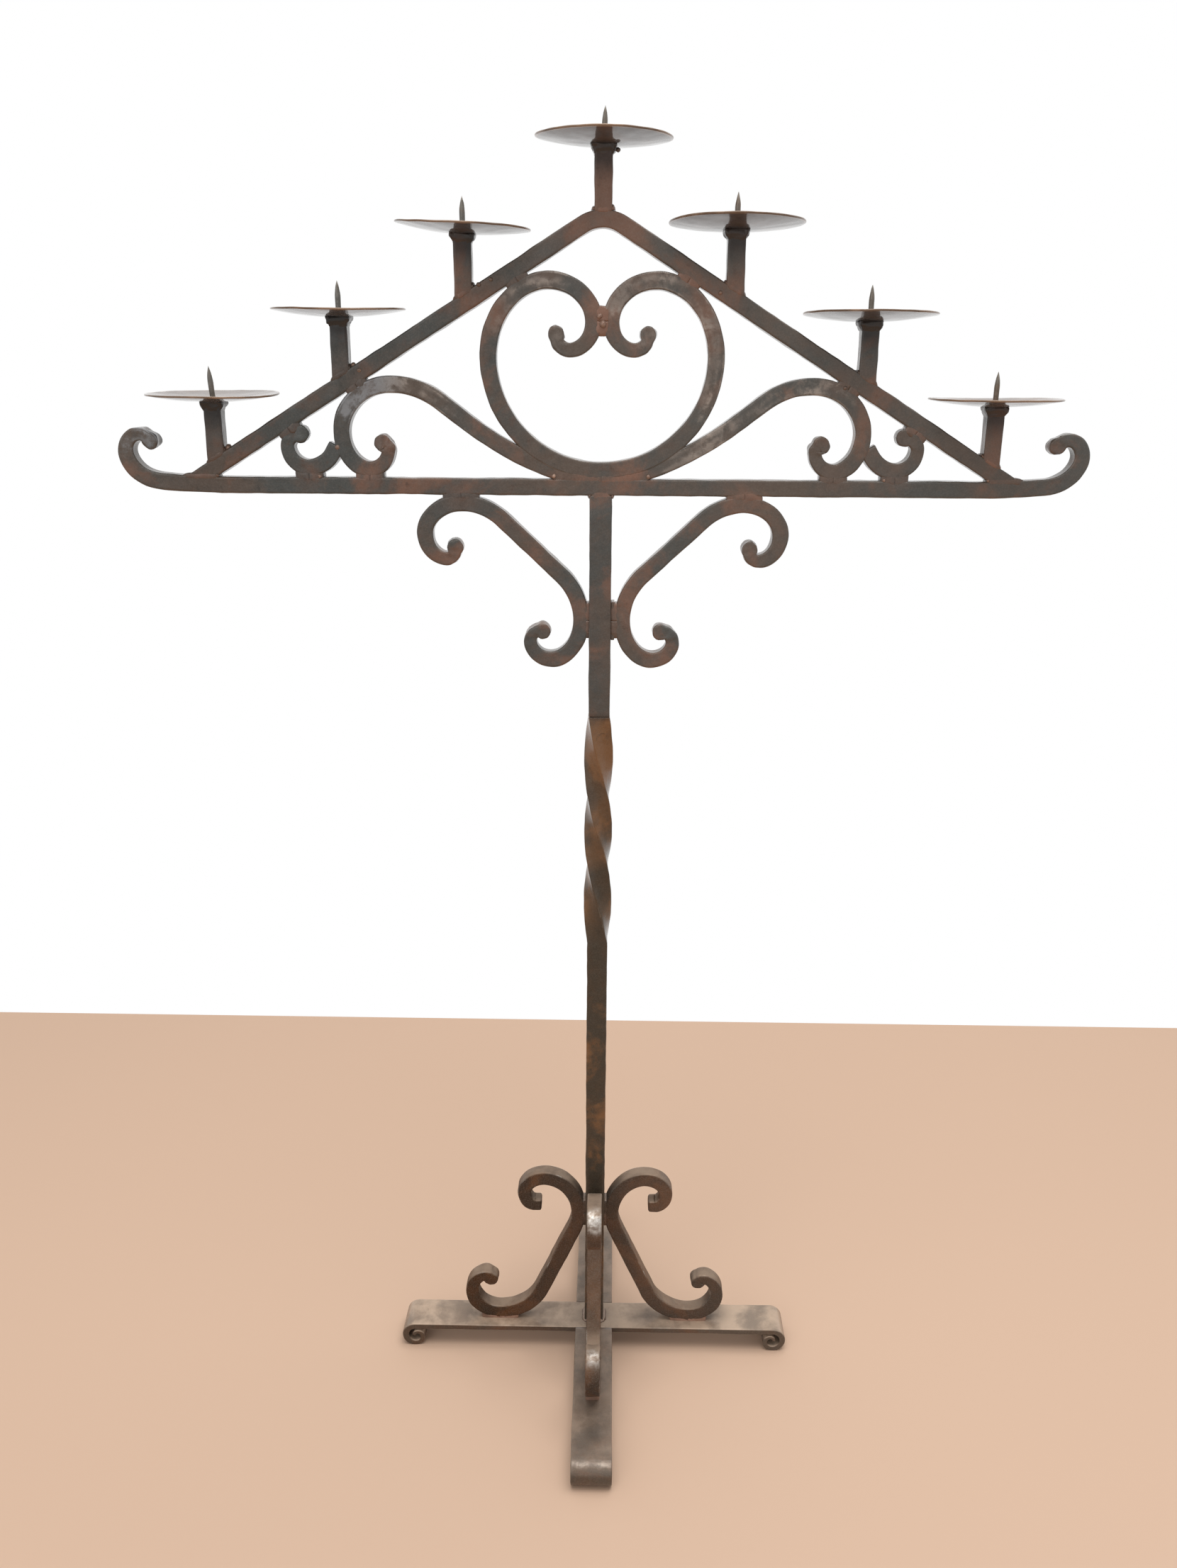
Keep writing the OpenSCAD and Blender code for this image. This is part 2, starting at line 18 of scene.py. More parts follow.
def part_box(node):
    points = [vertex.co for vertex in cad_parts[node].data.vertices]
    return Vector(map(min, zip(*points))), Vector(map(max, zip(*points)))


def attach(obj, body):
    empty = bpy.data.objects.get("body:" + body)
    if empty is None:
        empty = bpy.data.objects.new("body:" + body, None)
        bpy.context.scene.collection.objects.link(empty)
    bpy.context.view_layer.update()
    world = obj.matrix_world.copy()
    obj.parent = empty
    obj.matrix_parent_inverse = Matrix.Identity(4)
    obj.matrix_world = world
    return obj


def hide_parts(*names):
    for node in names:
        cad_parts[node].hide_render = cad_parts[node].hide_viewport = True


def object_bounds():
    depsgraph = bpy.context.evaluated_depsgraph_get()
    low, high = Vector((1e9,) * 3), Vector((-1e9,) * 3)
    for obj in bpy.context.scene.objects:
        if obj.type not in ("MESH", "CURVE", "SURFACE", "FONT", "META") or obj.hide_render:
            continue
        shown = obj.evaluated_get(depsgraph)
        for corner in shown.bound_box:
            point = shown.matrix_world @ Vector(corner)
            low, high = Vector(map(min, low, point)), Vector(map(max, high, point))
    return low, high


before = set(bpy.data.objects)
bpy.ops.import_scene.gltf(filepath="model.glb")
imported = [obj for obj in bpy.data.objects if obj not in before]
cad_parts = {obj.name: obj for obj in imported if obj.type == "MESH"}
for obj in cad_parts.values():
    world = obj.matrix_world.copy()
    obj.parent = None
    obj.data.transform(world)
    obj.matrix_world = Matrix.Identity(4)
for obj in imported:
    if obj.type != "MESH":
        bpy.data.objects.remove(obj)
cad_low, cad_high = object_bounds()

MM = 0.001

# Stock sizes, as the CAD has them
POST_W = 25.0
BAR_W = 18.0
BASE_BAR_W = 19.0
STEM_W = 19.0
CURL_W = 13.5
CURL_TAPER = 60.0
BUD_R = 9.3
FOOT_W = 50.0
FOOT_T = 8.0
PAN_D = 143.0
PAN_DEPTH = 9.0
PAN_T = 2.0
SPIKE_D = 6.0
SPIKE_H = 37.0
SPIKE_POINT_H = 17.0
TANG_H = 15.0
TWIST_H = 290.0
TWIST_TURN = 270.0
GABLE_ANGLE = 31.5
GABLE_BEND_R = 40.0

# Bends of each scroll: turn in degrees and radius at its start and end, as shares of
# the radius that names the scroll
HEART_R = 130.0
HEART_GAP = 0.8
RING_SHARE = [(90, 1, 0.845), (90, 0.75, 0.355)]
LOBE_SHARE = [(90, 1, 0.53), (90, 0.58, 0.35), (95, 0.255, 0.24)]
RAIL_CURL_R = 52.0
RAIL_SHARE = [(5, 17.3, 17.3), (85, 1, 0.365), (90, 0.44, 0.23), (60, 0.27, 0.25)]
ARCH_R = 66.0
ARCH_RUN = 36.0
ARCH_SHARE = [(90, 0.265, 0.77), (90, 0.655, 0.985), (37, 1.31, 1.31)]
ARCH_TAIL_SHARE = [(-17, 5.3, 5.3)]
ARCH_CURL_SHARE = [(-90, 0.326, 0.326), (-85, 0.106, 0.106)]
SMALL_R = 22.5
SMALL_GAP = 1.5
SMALL_SHARE = [(90, 1, 1), (90, 0.5, 0.75)]
SMALL_TAIL_SHARE = [(-60, 1.38, 1.38)]
SMALL_TAIL_RUN_SHARE = 0.4
BRACKET_R = 66.0
BRACKET_RUN = 91.0
KNEE_SHARE = [(43, 1, 1)]
BRACKET_CURL_SHARE = [(47, 1.06, 1.06), (90, 0.93, 0.27), (90, 0.45, 0.23), (105, 0.21, 0.15)]
SHOULDER_CURL_SHARE = [(-90, 0.8, 0.34), (-90, 0.53, 0.25), (-105, 0.18, 0.135)]
BASE_R = 63.0
BASE_RUN = 108.0
BASE_KNEE_SHARE = [(-66, 1, 1)]
BASE_TOP_SHARE = [(-24, 1.05, 1.05), (-90, 0.99, 0.555), (-90, 0.525, 0.26), (-90, 0.43, 0.08)]
BASE_TIP_SHARE = 0.11
BASE_TIP_W_SHARE = 0.84
BASE_CURL_SHARE = [(90, 0.67, 0.467), (90, 0.49, 0.206), (85, 0.11, 0.09)]
ROLL_R = 13.7
ROLL_SHARE = [(-180, 1, 0.95), (-160, 0.82, 0.5), (-100, 0.42, 0.36)]
ROLL_TIP_SHARE = 0.55
PAN_LEAN = [0, 0, 3, 0.8, 0, 0, 0]
PAN_NOD = [2, 1.2, 2, 1, -1.5, -1, 0]

# How far bars are rounded: along their corners, and at their ends
BAR_CORNER = 1.9
POST_CORNER = 1.7
FOOT_CORNER = 1.3
POST_END_R = 1.2
ROLL_END_R = 1.2
BASE_TIP_R = 3.0
PLATE_R = 0.8
BUD_CORNER = 3.0

# How much less deep a bar is where it is sunk in another, and the packing plate
SUNK = 0.9
PLATE_SUNK = 0.6

# How far a bar's tail runs on into the weld under the heart, and a gable foot into the rail
TAIL_IN_WELD = 9.0
GABLE_IN_RAIL = 0.5

# How far a stem runs into the gable and into its pan
STEM_IN_GABLE = 4.5
STEM_IN_PAN = 0.8

# How unevenly the post twists, and the stretch at its top that thins to the rail's depth
TWIST_EASE = 0.022
POST_TOP_TAPER = 26.0
POST_TOP_DEPTH = BAR_W + 0.2

# Lean of each spike to the right in degrees, as bent by use
SPIKE_LEAN = [-4, -0.5, 0, 2, 0.5, 0, 0.5]

# How reddish the heat has left each stem
STEM_HEAT = [0.1, 0, 0, 1.35, 0, 0, 0.6]

# Steps of the meshes: largest turn in degrees and length between two rings
TURN_STEP = 6.0
LENGTH_STEP = 4.0

# Points round a pan, a collar, a spike and a drop
PAN_POINTS = 96
COLLAR_POINTS = 72
SPIKE_POINTS = 20
DROP_POINTS = 14


def ramp(value, zero_at, one_at):
    """0 at one limit and before it, 1 at the other and past it, and even between them."""
    return np.clip((value - zero_at) / (one_at - zero_at), 0, 1)


def node_box(node):
    """Lowest and highest corner of a CAD node in millimetres."""
    low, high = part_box(node)
    return np.array(low) / MM, np.array(high) / MM


def unit(angle):
    way = math.radians(angle)
    return np.array([math.cos(way), math.sin(way)])


def trace(route, size=1.0, start=(0, 0), heading=0):
    """Line of a bar along a route, off from a place in a heading.

    A number in a route is a straight run. A row is a bend: its turn, and its radius at its
    start and its end as shares of a size.
    """
    place = np.array(start, float)
    rows = [(*place, heading)]
    for part in route:
        if isinstance(part, tuple):
            turn, first, last = part
            arc = math.radians(abs(turn)) * size * (first + last) / 2
            count = max(1, math.ceil(abs(turn) / TURN_STEP), math.ceil(arc / LENGTH_STEP))
            half_turn = math.radians(abs(turn) / count / 2)
            radii = [size * (first + (last - first) * (i + 0.5) / count) for i in range(count)]
            chords = [2 * radius * math.sin(half_turn) for radius in radii]
        else:
            turn = 0
            count = max(1, math.ceil(part / LENGTH_STEP))
            chords = [part / count] * count
        for chord in chords:
            place = place + chord * unit(heading + turn / count / 2)
            heading += turn / count
            rows.append((*place, heading))
    return np.array(rows)


def scroll(left_route, right_route, size, start=(0, 0)):
    """Line of a bar that runs off from a place on it, to the left and to the right."""
    back = trace(left_route, size, start, 180)[:0:-1]
    back[:, 2] += 180
    return np.concatenate([back, trace(right_route, size, start)])


def both_sides(half):
    """A whole line from its right half, which starts over the middle of the post."""
    back = half[:0:-1].copy()
    back[:, 0] *= -1
    back[:, 2] *= -1
    return np.concatenate([back, half])


def mirrored(line):
    """The same bar on the other side of the post, drawn the same way round."""
    other = line.copy()
    other[:, 0] *= -1
    other[:, 2] = 180 - other[:, 2]
    return other


# One end of a bar: its width, the radius of its bud or of its rounding, and over what
# length the bar is sunk in another
End = namedtuple("End", "width bud rounding sink", defaults=(0.0, 0.0, 0.0))
CURLED = End(CURL_W, bud=BUD_R)


def normals(line):
    return np.array([unit(heading + 90) for heading in line[:, 2]])


def circle_reach(line, centre, radius):
    """How far a circle reaches to the left and the right of each point of a line."""
    away = line[:, :2] - centre
    along = np.sum(away * normals(line), axis=1)
    inner = along**2 - np.sum(away**2, axis=1) + radius**2
    root = np.sqrt(np.maximum(inner, 0.0))
    inside = inner > 0
    return np.where(inside, root - along, 0.0), np.where(inside, root + along, 0.0)


def end_stations(line, end, at_end):
    """The bar past one end of its line, where it is rounded off, or None."""
    radius = end.bud or end.rounding
    if radius == 0:
        return None
    last = line[-1] if at_end else line[0]
    heading = last[2] if at_end else last[2] + 180
    angles = np.radians([14, 28, 42, 54, 65, 75, 83])
    ahead = radius * np.sin(angles)
    rows = np.array([(*(last[:2] + s * unit(heading)), last[2]) for s in ahead])
    if end.bud:
        left, right = circle_reach(rows, last[:2], radius)
        depth_left = np.clip(BUD_CORNER - (radius - ahead), 0, BUD_CORNER)
        inset = BUD_CORNER - np.sqrt(BUD_CORNER**2 - depth_left**2)
    else:
        inset = radius * (1 - np.cos(angles))
        left = right = end.width / 2 - inset
    parts = (rows, left, right, inset, np.full(len(rows), float(end.bud > 0)))
    return parts if at_end else [part[::-1] for part in parts]


def stations(line, start=CURLED, end=CURLED, width=BAR_W, taper=CURL_TAPER):
    """The bar along a line."""
    steps = np.linalg.norm(np.diff(line[:, :2], axis=0), axis=1)
    run = np.concatenate([[0.0], np.cumsum(steps)])
    to_go = run[-1] - run
    left = np.full(len(line), width / 2)
    for edge, away in ((start, run), (end, to_go)):
        left = np.minimum(left, (edge.width + (width - edge.width) * away / taper) / 2)
    right = left
    inset = np.zeros(len(line))
    knob = np.zeros(len(line))
    for edge, here, away in ((start, line[0, :2], run), (end, line[-1, :2], to_go)):
        if edge.bud:
            more_left, more_right = circle_reach(line, here, edge.bud)
            beside = away < 2 * edge.bud
            left = np.where(beside, np.maximum(left, more_left), left)
            right = np.where(beside, np.maximum(right, more_right), right)
            knob = np.maximum(knob, ramp(away, 2.52 * edge.bud, 1.12 * edge.bud))
        if edge.sink:
            inset = np.maximum(inset, SUNK * ramp(away, edge.sink, 0))
    bar = (line, left, right, inset, knob)
    parts = [end_stations(line, start, False), bar, end_stations(line, end, True)]
    return [np.concatenate(values) for values in zip(*filter(None, parts))]


def outline(bar):
    """Points round a bar in the XZ plane."""
    line, left, right = bar[:3]
    across = normals(line)
    return np.concatenate(
        [line[:, :2] + across * left[:, None], (line[:, :2] - across * right[:, None])[::-1]]
    )


def section_template(across, along, arc=4):
    """Rows that place each point of a ring: share across, share along, cosine, sine."""
    quarter = np.radians(np.linspace(0, 90, arc))
    half = [(0.0, v, 1.0, 0.0) for v in along]
    half += [(0.0, 1.0, math.cos(a), math.sin(a)) for a in quarter]
    half += [(u, 1.0, 0.0, 1.0) for u in across]
    half += [(1.0, 1.0, -math.sin(a), math.cos(a)) for a in quarter]
    return np.array(half + [(1 - u, 1 - v, -c, -s) for u, v, c, s in half])


NARROW = [0.07, 0.36, 0.64, 0.93]
WIDE = [0.025, 0.12, 0.25, 0.38, 0.5, 0.62, 0.75, 0.88, 0.975]
BAR_SECTION = section_template(NARROW, NARROW)
FLAT_SECTION = section_template(NARROW, WIDE)


def edge_share(template):
    """1 on the soft corners of a section and 0 on its flats."""
    return (np.abs(template[:, 2] * template[:, 3]) > 0.05).astype(float)


def rings_of(bar, depth, corner=BAR_CORNER, template=BAR_SECTION):
    """Points of a bar, ring by ring, in millimetres."""
    line, left, right, inset, _ = bar
    half = depth / 2 - inset
    soft = np.minimum(corner, np.minimum(0.48 * (left + right), 0.9 * half))[:, None]
    across, along, cosine, sine = template.T
    n = (left[:, None] - soft) * (1 - across) - (right[:, None] - soft) * across + soft * cosine
    y = (half[:, None] - soft) * (2 * along - 1) + soft * sine
    way = normals(line)
    x = line[:, 0:1] + n * way[:, 0:1]
    z = line[:, 1:2] + n * way[:, 1:2]
    return np.stack([x, y, z], axis=2)


def turned(rings, degrees):
    """Rings turned about the post, all alike or each point by its own angle."""
    c, s = np.cos(np.radians(degrees)), np.sin(np.radians(degrees))
    x, y, z = rings[..., 0], rings[..., 1], rings[..., 2]
    return np.stack([c * x - s * y, s * x + c * y, z], axis=-1)


def noise_at(points, size, seed):
    shift = Vector((seed * 13.7, seed * 5.3, seed * 9.1))
    flat = points.reshape(-1, 3) / size
    values = [noise.noise(Vector(p) + shift) for p in flat]
    return np.array(values).reshape(points.shape[:-1])


def outward(rings):
    """Unit normals of a grid of rings, away from the inside."""
    round_way = np.roll(rings, -1, axis=1) - np.roll(rings, 1, axis=1)
    long_way = np.gradient(rings, axis=0)
    way = np.cross(round_way, long_way)
    if np.sum(way * (rings - rings.mean(axis=(0, 1)))) < 0:
        way = -way
    return way / np.maximum(np.linalg.norm(way, axis=2, keepdims=True), 1e-9)


def roughened(rings, layers, seed, share=1.0):
    """Rings moved along their normals by layers of noise: height and size of each."""
    way = outward(rings)
    lift = np.zeros(rings.shape[:2])
    for k, (height, size) in enumerate(layers):
        lift += height * noise_at(rings, size, seed + 31 * k)
    return rings + way * (lift * share)[..., None]


# Unevenness of bars, flat bars, knobs, weld beads and the like: height and size of each layer
HAMMERED = [(0.55, 42.0), (0.4, 13.0)]
FLAT_HAMMERED = [(0.5, 60.0), (0.25, 16.0)]
KNOBBED = [(1.3, 11.0), (0.7, 5.5)]
BEADED = [(0.9, 9.0), (0.6, 4.0)]
COLLARED = [(1.5, 6.5), (1.1, 3.2)]
RIPPLED = [(0.5, 3.0)]
FILED = [(0.25, 6.0)]

# Bars and welds share one field of unevenness, so that they stay level where they meet
FIELD = 1


def new_object(name, data):
    thing = bpy.data.objects.new(name, data)
    bpy.context.scene.collection.objects.link(thing)
    return thing


class Shape:
    """A mesh in the making, from grids of rings."""

    def __init__(self):
        self.points = []
        self.faces = []
        self.marks = {"wear": [], "scorch": [], "soot_and_shade": [], "dust_and_top_light": []}

    def add(self, rings, wear=0.0, heat=0.0, soot_and_shade=0.0):
        """Takes in a grid, closed at both ends, with its marks for the materials."""
        base = sum(len(p) for p in self.points)
        long, around = rings.shape[:2]
        self.points.append(rings.reshape(-1, 3))
        # Upward faces get dust and painted top light, more the more they face up
        dust_and_top_light = ramp(outward(rings)[..., 2], 0.3, 0.8)
        for name, rows in (("wear", wear), ("scorch", heat), ("soot_and_shade", soot_and_shade), ("dust_and_top_light", dust_and_top_light)):
            self.marks[name].append(np.broadcast_to(rows, (long, around)).reshape(-1))
        for i in range(long - 1):
            for k in range(around):
                a = base + i * around + k
                b = base + i * around + (k + 1) % around
                self.faces.append((a, b, b + around, a + around))
        self.faces.append(tuple(base + k for k in reversed(range(around))))
        top = base + (long - 1) * around
        self.faces.append(tuple(top + k for k in range(around)))

    def build(self, name, material, node, slot="wrought_iron"):
        """Makes the piece that stands in for a CAD node, inside the CAD's overall box."""
        points = np.concatenate(self.points)
        points = np.clip(points, np.array(cad_low) / MM, np.array(cad_high) / MM) * MM
        mesh = bpy.data.meshes.new(name)
        mesh.from_pydata(points.tolist(), [], self.faces)
        shell = bmesh.new()
        shell.from_mesh(mesh)
        bmesh.ops.recalc_face_normals(shell, faces=shell.faces)
        shell.to_mesh(mesh)
        shell.free()
        for label, values in self.marks.items():
            layer = mesh.attributes.new(label, "FLOAT", "POINT")
            layer.data.foreach_set("value", np.concatenate(values).astype(np.float32))
        mesh.polygons.foreach_set("use_smooth", [True] * len(mesh.polygons))
        mesh.materials.append(material)
        piece = new_object(name, mesh)
        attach(piece, "root")
        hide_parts(node)


def build_piece(name, material, node, rings, slot="wrought_iron", **marks):
    """A piece of one grid."""
    shape = Shape()
    shape.add(rings, **marks)
    shape.build(name, material, node, slot)


# Places that use and grinding have left bright, with painted highlights on them: x, y, z, radius
# and strength
WORN_AND_HIGHLIT_SIDE_LEFT = [(-240, -9, 1263, 28, 0.95), (-268, -9, 1240, 24, 0.75)]
WORN_AND_HIGHLIT_SIDE_LEFT += [(-186, -9, 1243, 30, 0.36), (-140, -9, 1208, 32, 0.3)]
WORN_AND_HIGHLIT_SIDE_RIGHT = [(240, -9, 1265, 36, 0.5), (130, -9, 1200, 34, 0.75), (84, -9, 1178, 22, 0.6)]
WORN_AND_HIGHLIT_SIDE_RIGHT += [(185, -9, 1240, 34, 0.45)]
WORN_AND_HIGHLIT_HEART = [(13, -9, 1356, 20, 1.0), (50, -9, 1376, 34, 0.6), (108, -9, 1338, 44, 0.55)]
WORN_AND_HIGHLIT_HEART += [(130, -9, 1270, 50, 0.42), (-60, -9, 1378, 30, 0.55), (42, -9, 1318, 20, 0.5)]
WORN_AND_HIGHLIT_HEART += [(-42, -9, 1318, 22, 0.4), (-104, -9, 1336, 42, 0.4), (17, -9, 1368, 14, 1.3)]
WORN_AND_HIGHLIT_RAIL = [(-508, -9, 1205, 26, 0.45), (-492, -9, 1212, 16, 0.6)]
# On the front base scroll and the front foot these places are painted highlights on their curls
HIGHLIGHTS_BASE_FRONT = [(0, -92, 256, 16, 0.62), (0, -160, 103, 12, 0.62)]
HIGHLIGHTS_FRONT_FOOT = [(x, -251, 29, 5.0, 0.85) for x in (-20, -12, -4, 4, 12, 20)]

# Dark places on the feet, stains and painted shade under the base scrolls: x, y, radius and
# strength
STAINS_AND_SHADE = [(0, 0, 34, 0.45), (70, 0, 26, 0.32), (-70, 0, 24, 0.25), (0, -165, 22, 0.4)]
STAINS_AND_SHADE += [(0, 165, 22, 0.3), (165, 8, 20, 0.36), (115, -6, 26, 0.22)]
STAINS_AND_SHADE += [(7, -206, 18, 0.45), (-12, -228, 12, 0.3), (0, -120, 24, 0.3)]

# Places that the heat of welding has left reddish: x, z, radius and strength
WELD_PLACES = [(0, 1348, 20, 1.0), (0, 1165, 70, 0.03), (-54, 1164, 8, 1.0), (54, 1164, 8, 1.0)]
WELD_PLACES += [(0, 1435, 60, 0.9), (-122, 1345, 26, 0.7), (122, 1340, 26, 0.7)]
WELD_PLACES += [(-60, 1376, 20, 0.6), (-256, 1270, 16, 0.5), (256, 1270, 16, 0.5)]
WELD_PLACES += [(-256, 1166, 18, 0.5), (256, 1166, 18, 0.4), (-323, 1166, 16, 0.4)]
WELD_PLACES += [(323, 1166, 16, 0.4), (-155, 1144, 24, 0.6), (155, 1144, 24, 0.3)]

# How strongly brushing has streaked the worn places and painted highlights of the frame, and the
# wear of corners
STREAKS = 1.3
EDGE_WEAR = 0.4


def streaks_of(rings):
    """Noise that changes across a bar and hardly along it, as brushing leaves it."""
    along, across = np.meshgrid(*(np.arange(n) for n in rings.shape[:2]), indexing="ij")
    grid = np.stack([8.0 * across, 0.9 * along, 0.0 * along], axis=2)
    return noise_at(grid, 10.0, 9)


def near(rings, places, axes, start=1.5):
    """How near each point is to places: their coordinates, radius and strength.

    It is nothing as many radii from a place as start says, and full one radius nearer.
    """
    columns = ["xyz".index(axis) for axis in axes]
    share = np.zeros(rings.shape[:2])
    for *place, radius, strength in places:
        away = np.linalg.norm(rings[..., columns] - place, axis=2)
        share = np.maximum(share, strength * ramp(away, start * radius, (start - 1) * radius))
    return share


def wear_and_highlight_of(rings, template=BAR_SECTION, worn=(), streaks=0.0):
    """Wear of each point along the corners, and wear and painted highlights at the places given.
    """
    wear = EDGE_WEAR * edge_share(template)[None, :] * (0.5 + 0.9 * noise_at(rings, 24.0, 7))
    rubbed_and_highlit = near(rings, worn, "xyz")
    if streaks:
        rubbed_and_highlit = rubbed_and_highlit * (1 + streaks * streaks_of(rings))
    return np.clip(np.maximum(wear, rubbed_and_highlit), 0, 1)


def heat_of(rings):
    return near(rings, WELD_PLACES, "xz", 1.4)


def forge(
    node, bar, material, seed, depth=BAR_W, name="", slot="wrought_iron", corner=BAR_CORNER,
    turn=0, template=BAR_SECTION, layers=HAMMERED, worn=(), stains_and_shade=(), streaks=0.0,
):
    """A bar as the piece that stands in for a CAD node."""
    rings = turned(rings_of(bar, depth, corner, template), turn)
    rings = roughened(rings, layers, FIELD)
    knob = bar[4][:, None]
    if knob.max() > 0:
        rings = roughened(rings, KNOBBED, seed + 5, knob)
    wear = wear_and_highlight_of(rings, template, worn, streaks)
    marks = {"wear": wear, "heat": heat_of(rings), "soot_and_shade": near(rings, stains_and_shade, "xy")}
    build_piece(name or f"forged_{node}", material, node, rings, slot, **marks)


# Materials

# Colour of soot, and of painted shade under the pans and the base scrolls
SOOT_AND_SHADE = (0.016, 0.014, 0.014)


def new_material(name):
    material = bpy.data.materials.new(name)
    material.use_nodes = True
    return material, material.node_tree.nodes["Principled BSDF"]


class Net:
    """Short ways to add the nodes that the iron materials share."""

    def __init__(self, material):
        self.nodes = material.node_tree.nodes
        self.links = material.node_tree.links
        self.place = self.nodes.new("ShaderNodeTexCoord").outputs["Object"]

    def fill(self, node, values):
        """Sets sockets of a node to numbers and colours, or links other sockets to them."""
        for label, value in values.items():
            socket = node.inputs[label]
            if isinstance(value, bpy.types.NodeSocket):
                self.links.new(value, socket)
            else:
                socket.default_value = (*value, 1.0) if socket.type == "RGBA" else value

    def noise(self, scale, detail, rough, warp=0.0, shift=0.0):
        source = self.place
        if shift:
            mapping = self.nodes.new("ShaderNodeMapping")
            self.fill(mapping, {"Vector": source, "Location": (shift, 2 * shift, 3 * shift)})
            source = mapping.outputs["Vector"]
        node = self.nodes.new("ShaderNodeTexNoise")
        texture = {"Scale": scale, "Detail": detail, "Roughness": rough, "Distortion": warp}
        self.fill(node, {"Vector": source, **texture})
        return node.outputs["Fac"]

    def steps(self, value, low, high, out_low=0.0, out_high=1.0):
        node = self.nodes.new("ShaderNodeMapRange")
        node.interpolation_type = "SMOOTHSTEP"
        limits = {"From Min": low, "From Max": high, "To Min": out_low, "To Max": out_high}
        self.fill(node, {"Value": value, **limits})
        return node.outputs["Result"]

    def math(self, kind, first, second):
        node = self.nodes.new("ShaderNodeMath")
        node.operation = kind
        self.fill(node, {0: first, 1: second})
        return node.outputs["Value"]

    def mix(self, share, first, second):
        node = self.nodes.new("ShaderNodeMix")
        node.data_type = "RGBA"
        self.fill(node, {"Factor": share, "A": first, "B": second})
        return node.outputs["Result"]

    def attribute(self, name):
        node = self.nodes.new("ShaderNodeAttribute")
        node.attribute_name = name
        return node.outputs["Fac"]


